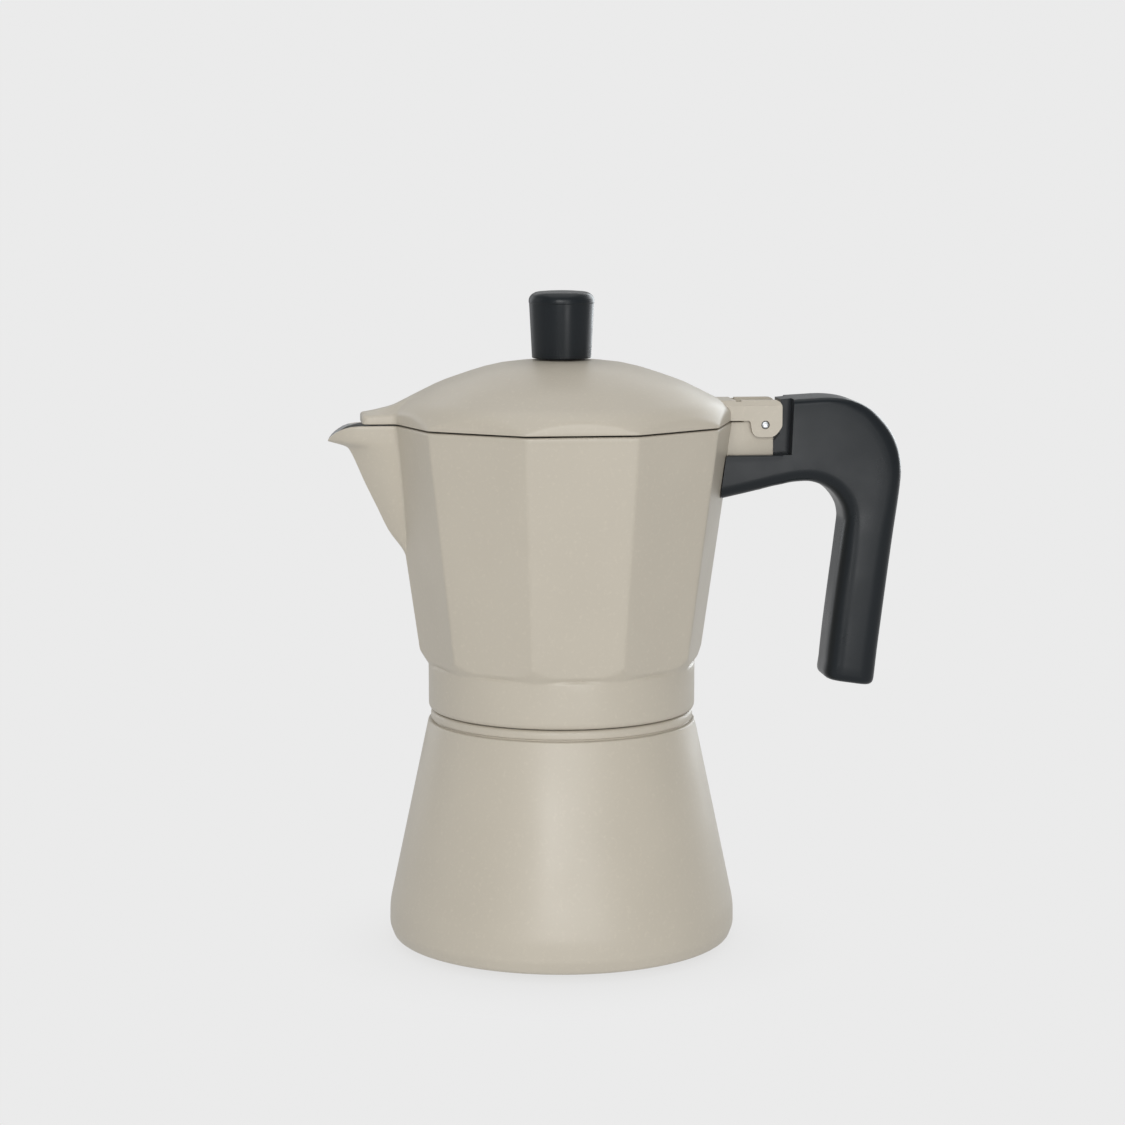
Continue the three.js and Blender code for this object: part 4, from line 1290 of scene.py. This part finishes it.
class MOKAPOT_OT_handle(bpy.types.Operator):
    """Moulds the handle and makes the screw and washer that hold it"""

    bl_idname = "mokapot.handle"
    bl_label = "Handle"

    def execute(self, context):
        screw = cross_screw("handle_bolt", 2.5, 4.75, 139.9, 141.9, 153.5, BOLT_X)
        ring = washer("handle_ring", 4.75, BOLT_BORE, 142.2, 143.0, BOLT_X)
        finished(handle_shape(), "upper_pot", "black_plastic", "handle")
        finished(screw, "upper_pot", "steel", "handle_screw")
        finished(ring, "upper_pot", "steel", "handle_washer")
        return {"FINISHED"}


CAMERA_LENS = 95.98
CAMERA_SENSOR = 36.0
CAMERA_AIM = (0.0003, 0, 0.118)
LIGHT_AIM = (0, 0, 0.11)
FILL = 0.42
FLOOR_RADIUS = 1.1


def area_light(name, power, size, place, aim=LIGHT_AIM, colour=(1, 1, 1)):
    """A rectangle of light, power in watts and lengths in metres, that the camera doesn't see."""
    data = bpy.data.lights.new(name, "AREA")
    data.shape = "RECTANGLE"
    data.size, data.size_y = size
    data.energy = power
    data.color = colour
    light = bpy.data.objects.new(name, data)
    light.location = place
    light.rotation_euler = (Vector(aim) - Vector(place)).to_track_quat("-Z", "Y").to_euler()
    light.visible_camera = False
    bpy.context.scene.collection.objects.link(light)


class MOKAPOT_OT_stage(bpy.types.Operator):
    """Lays the pale floor and sets the soft lights and the camera"""

    bl_idname = "mokapot.stage"
    bl_label = "Stage"

    def execute(self, context):
        scene = context.scene
        sizes = scene.moka_pot_sizes
        pale = tuple(scene.moka_pot_colours.floor)
        scene.view_settings.view_transform = "Standard"
        self.floor(pale)
        self.surroundings(scene, pale)
        area_light("front_softbox", 6.8, (1.1, 0.7), (-0.06, -1.45, 0.54))
        area_light("strip", 3.6, (0.34, 0.8), (-0.31, -1.25, 0.45))
        area_light("left_softbox", 0.9, (0.6, 1.0), (-1.3, 0.25, 0.5))
        area_light("right_softbox", 2.7, (0.5, 1.1), (1.25, 0.75, 0.4), colour=(0.95, 0.97, 1.0))
        area_light("back_right_panel", 11.5, (1.0, 1.1), (1.15, 1.5, 0.5), colour=(0.91, 0.965, 1.0))
        area_light("back_left_panel", 3.2, (0.9, 1.1), (-1.15, 1.5, 0.5), colour=(0.96, 0.98, 1.0))
        area_light("back_high_panel", 2.4, (1.6, 0.5), (0.1, 1.5, 1.1))
        area_light("low_card", 0.42, (0.16, 0.1), (0.19, -0.75, 0.055), (0.09, 0, 0.1))
        area_light("top_softbox", 4.0, (1.2, 1.2), (0, 0.1, 1.4))
        self.camera(scene, sizes)
        return {"FINISHED"}

    def floor(self, pale):
        """A wide floor whose shading fades into the plain background away from the pot."""
        deselect()
        bpy.ops.mesh.primitive_circle_add(
            vertices=128, radius=FLOOR_RADIUS, fill_type="NGON", location=(0, 0, 0)
        )
        floor = named("floor")
        material = bpy.data.materials.new("pale_floor")
        material.use_nodes = True
        nodes = material.node_tree.nodes
        links = material.node_tree.links
        colour = pale + (1.0,)
        shader = nodes["Principled BSDF"]
        fill_in(shader, {"Base Color": colour, "Roughness": 0.8, "Specular IOR Level": 0.1})
        plain = fill_in(nodes.new("ShaderNodeEmission"), {"Color": colour})
        spot = nodes.new("ShaderNodeTexGradient")
        spot.gradient_type = "SPHERICAL"
        shrink = fill_in(nodes.new("ShaderNodeMapping"), {"Scale": (11, 11, 11)})
        place = nodes.new("ShaderNodeTexCoord")
        links.new(place.outputs["Object"], shrink.inputs["Vector"])
        links.new(shrink.outputs["Vector"], spot.inputs["Vector"])
        share = nodes.new("ShaderNodeMapRange")
        share.interpolation_type = "SMOOTHSTEP"
        fill_in(share, {"From Min": 0.0, "From Max": 0.9, "To Min": 0.0, "To Max": 0.34})
        links.new(spot.outputs["Fac"], share.inputs["Value"])
        mix = nodes.new("ShaderNodeMixShader")
        links.new(share.outputs["Result"], mix.inputs["Fac"])
        links.new(plain.outputs["Emission"], mix.inputs[1])
        links.new(shader.outputs["BSDF"], mix.inputs[2])
        bounced = fill_in(nodes.new("ShaderNodeEmission"), {"Color": colour, "Strength": 0.8})
        path = nodes.new("ShaderNodeLightPath")
        choice = nodes.new("ShaderNodeMixShader")
        links.new(path.outputs["Is Camera Ray"], choice.inputs["Fac"])
        links.new(bounced.outputs["Emission"], choice.inputs[1])
        links.new(mix.outputs["Shader"], choice.inputs[2])
        links.new(choice.outputs["Shader"], nodes["Material Output"].inputs["Surface"])
        floor.data.materials.append(material)

    def surroundings(self, scene, pale):
        """Even light from all round, and the plain background behind the pot."""
        world = bpy.data.worlds.new("studio")
        scene.world = world
        world.use_nodes = True
        nodes = world.node_tree.nodes
        links = world.node_tree.links
        fill = fill_in(nodes["Background"], {"Color": (1, 1, 1, 1), "Strength": FILL})
        in_gloss = nodes.new("ShaderNodeBackground")
        fill_in(in_gloss, {"Color": (0.97, 0.985, 1.0, 1.0), "Strength": FILL})
        seen = fill_in(nodes.new("ShaderNodeBackground"), {"Color": pale + (1.0,)})
        path = nodes.new("ShaderNodeLightPath")
        shaders = fill.outputs["Background"]
        for ray, other in (("Is Glossy Ray", in_gloss), ("Is Camera Ray", seen)):
            mix = nodes.new("ShaderNodeMixShader")
            links.new(path.outputs[ray], mix.inputs["Fac"])
            links.new(shaders, mix.inputs[1])
            links.new(other.outputs["Background"], mix.inputs[2])
            shaders = mix.outputs["Shader"]
        links.new(shaders, nodes["World Output"].inputs["Surface"])

    def camera(self, scene, sizes):
        data = bpy.data.cameras.new("camera")
        data.lens = CAMERA_LENS
        data.sensor_width = CAMERA_SENSOR
        data.clip_end = 100
        camera = bpy.data.objects.new("camera", data)
        turn = sizes.camera_turn
        camera.location = (
            -sizes.camera_distance * math.sin(turn), -sizes.camera_distance * math.cos(turn),
            sizes.camera_height,
        )
        way = Vector(CAMERA_AIM) - camera.location
        camera.rotation_euler = way.to_track_quat("-Z", "Y").to_euler()
        scene.collection.objects.link(camera)
        scene.camera = camera


OPERATORS = (
    MOKAPOT_OT_boiler, MOKAPOT_OT_valve, MOKAPOT_OT_funnel, MOKAPOT_OT_seal, MOKAPOT_OT_collector,
    MOKAPOT_OT_lid, MOKAPOT_OT_knob, MOKAPOT_OT_handle, MOKAPOT_OT_stage,
)


class MOKAPOT_PT_panel(bpy.types.Panel):
    """Lists the pot's colours, sizes and pieces"""

    bl_idname = "MOKAPOT_PT_panel"
    bl_label = "Moka Pot"
    bl_space_type = "VIEW_3D"
    bl_region_type = "UI"
    bl_category = "Moka Pot"

    def draw(self, context):
        layout = self.layout
        for group in (context.scene.moka_pot_colours, context.scene.moka_pot_sizes):
            box = layout.box()
            for name in group.__annotations__:
                box.prop(group, name)
        for operator in OPERATORS:
            layout.operator(operator.bl_idname)


CLASSES = (MokaPotColours, MokaPotSizes) + OPERATORS + (MOKAPOT_PT_panel,)


def register():
    for cls in CLASSES:
        bpy.utils.register_class(cls)
    bpy.types.Scene.moka_pot_colours = bpy.props.PointerProperty(type=MokaPotColours)
    bpy.types.Scene.moka_pot_sizes = bpy.props.PointerProperty(type=MokaPotSizes)


def unregister():
    del bpy.types.Scene.moka_pot_sizes
    del bpy.types.Scene.moka_pot_colours
    for cls in reversed(CLASSES):
        bpy.utils.unregister_class(cls)


def main():
    register()
    for build in (
        bpy.ops.mokapot.boiler, bpy.ops.mokapot.valve, bpy.ops.mokapot.funnel, bpy.ops.mokapot.seal,
        bpy.ops.mokapot.collector, bpy.ops.mokapot.lid, bpy.ops.mokapot.knob, bpy.ops.mokapot.handle,
        bpy.ops.mokapot.stage,
    ):
        build()


if __name__ == "__main__":
    main()
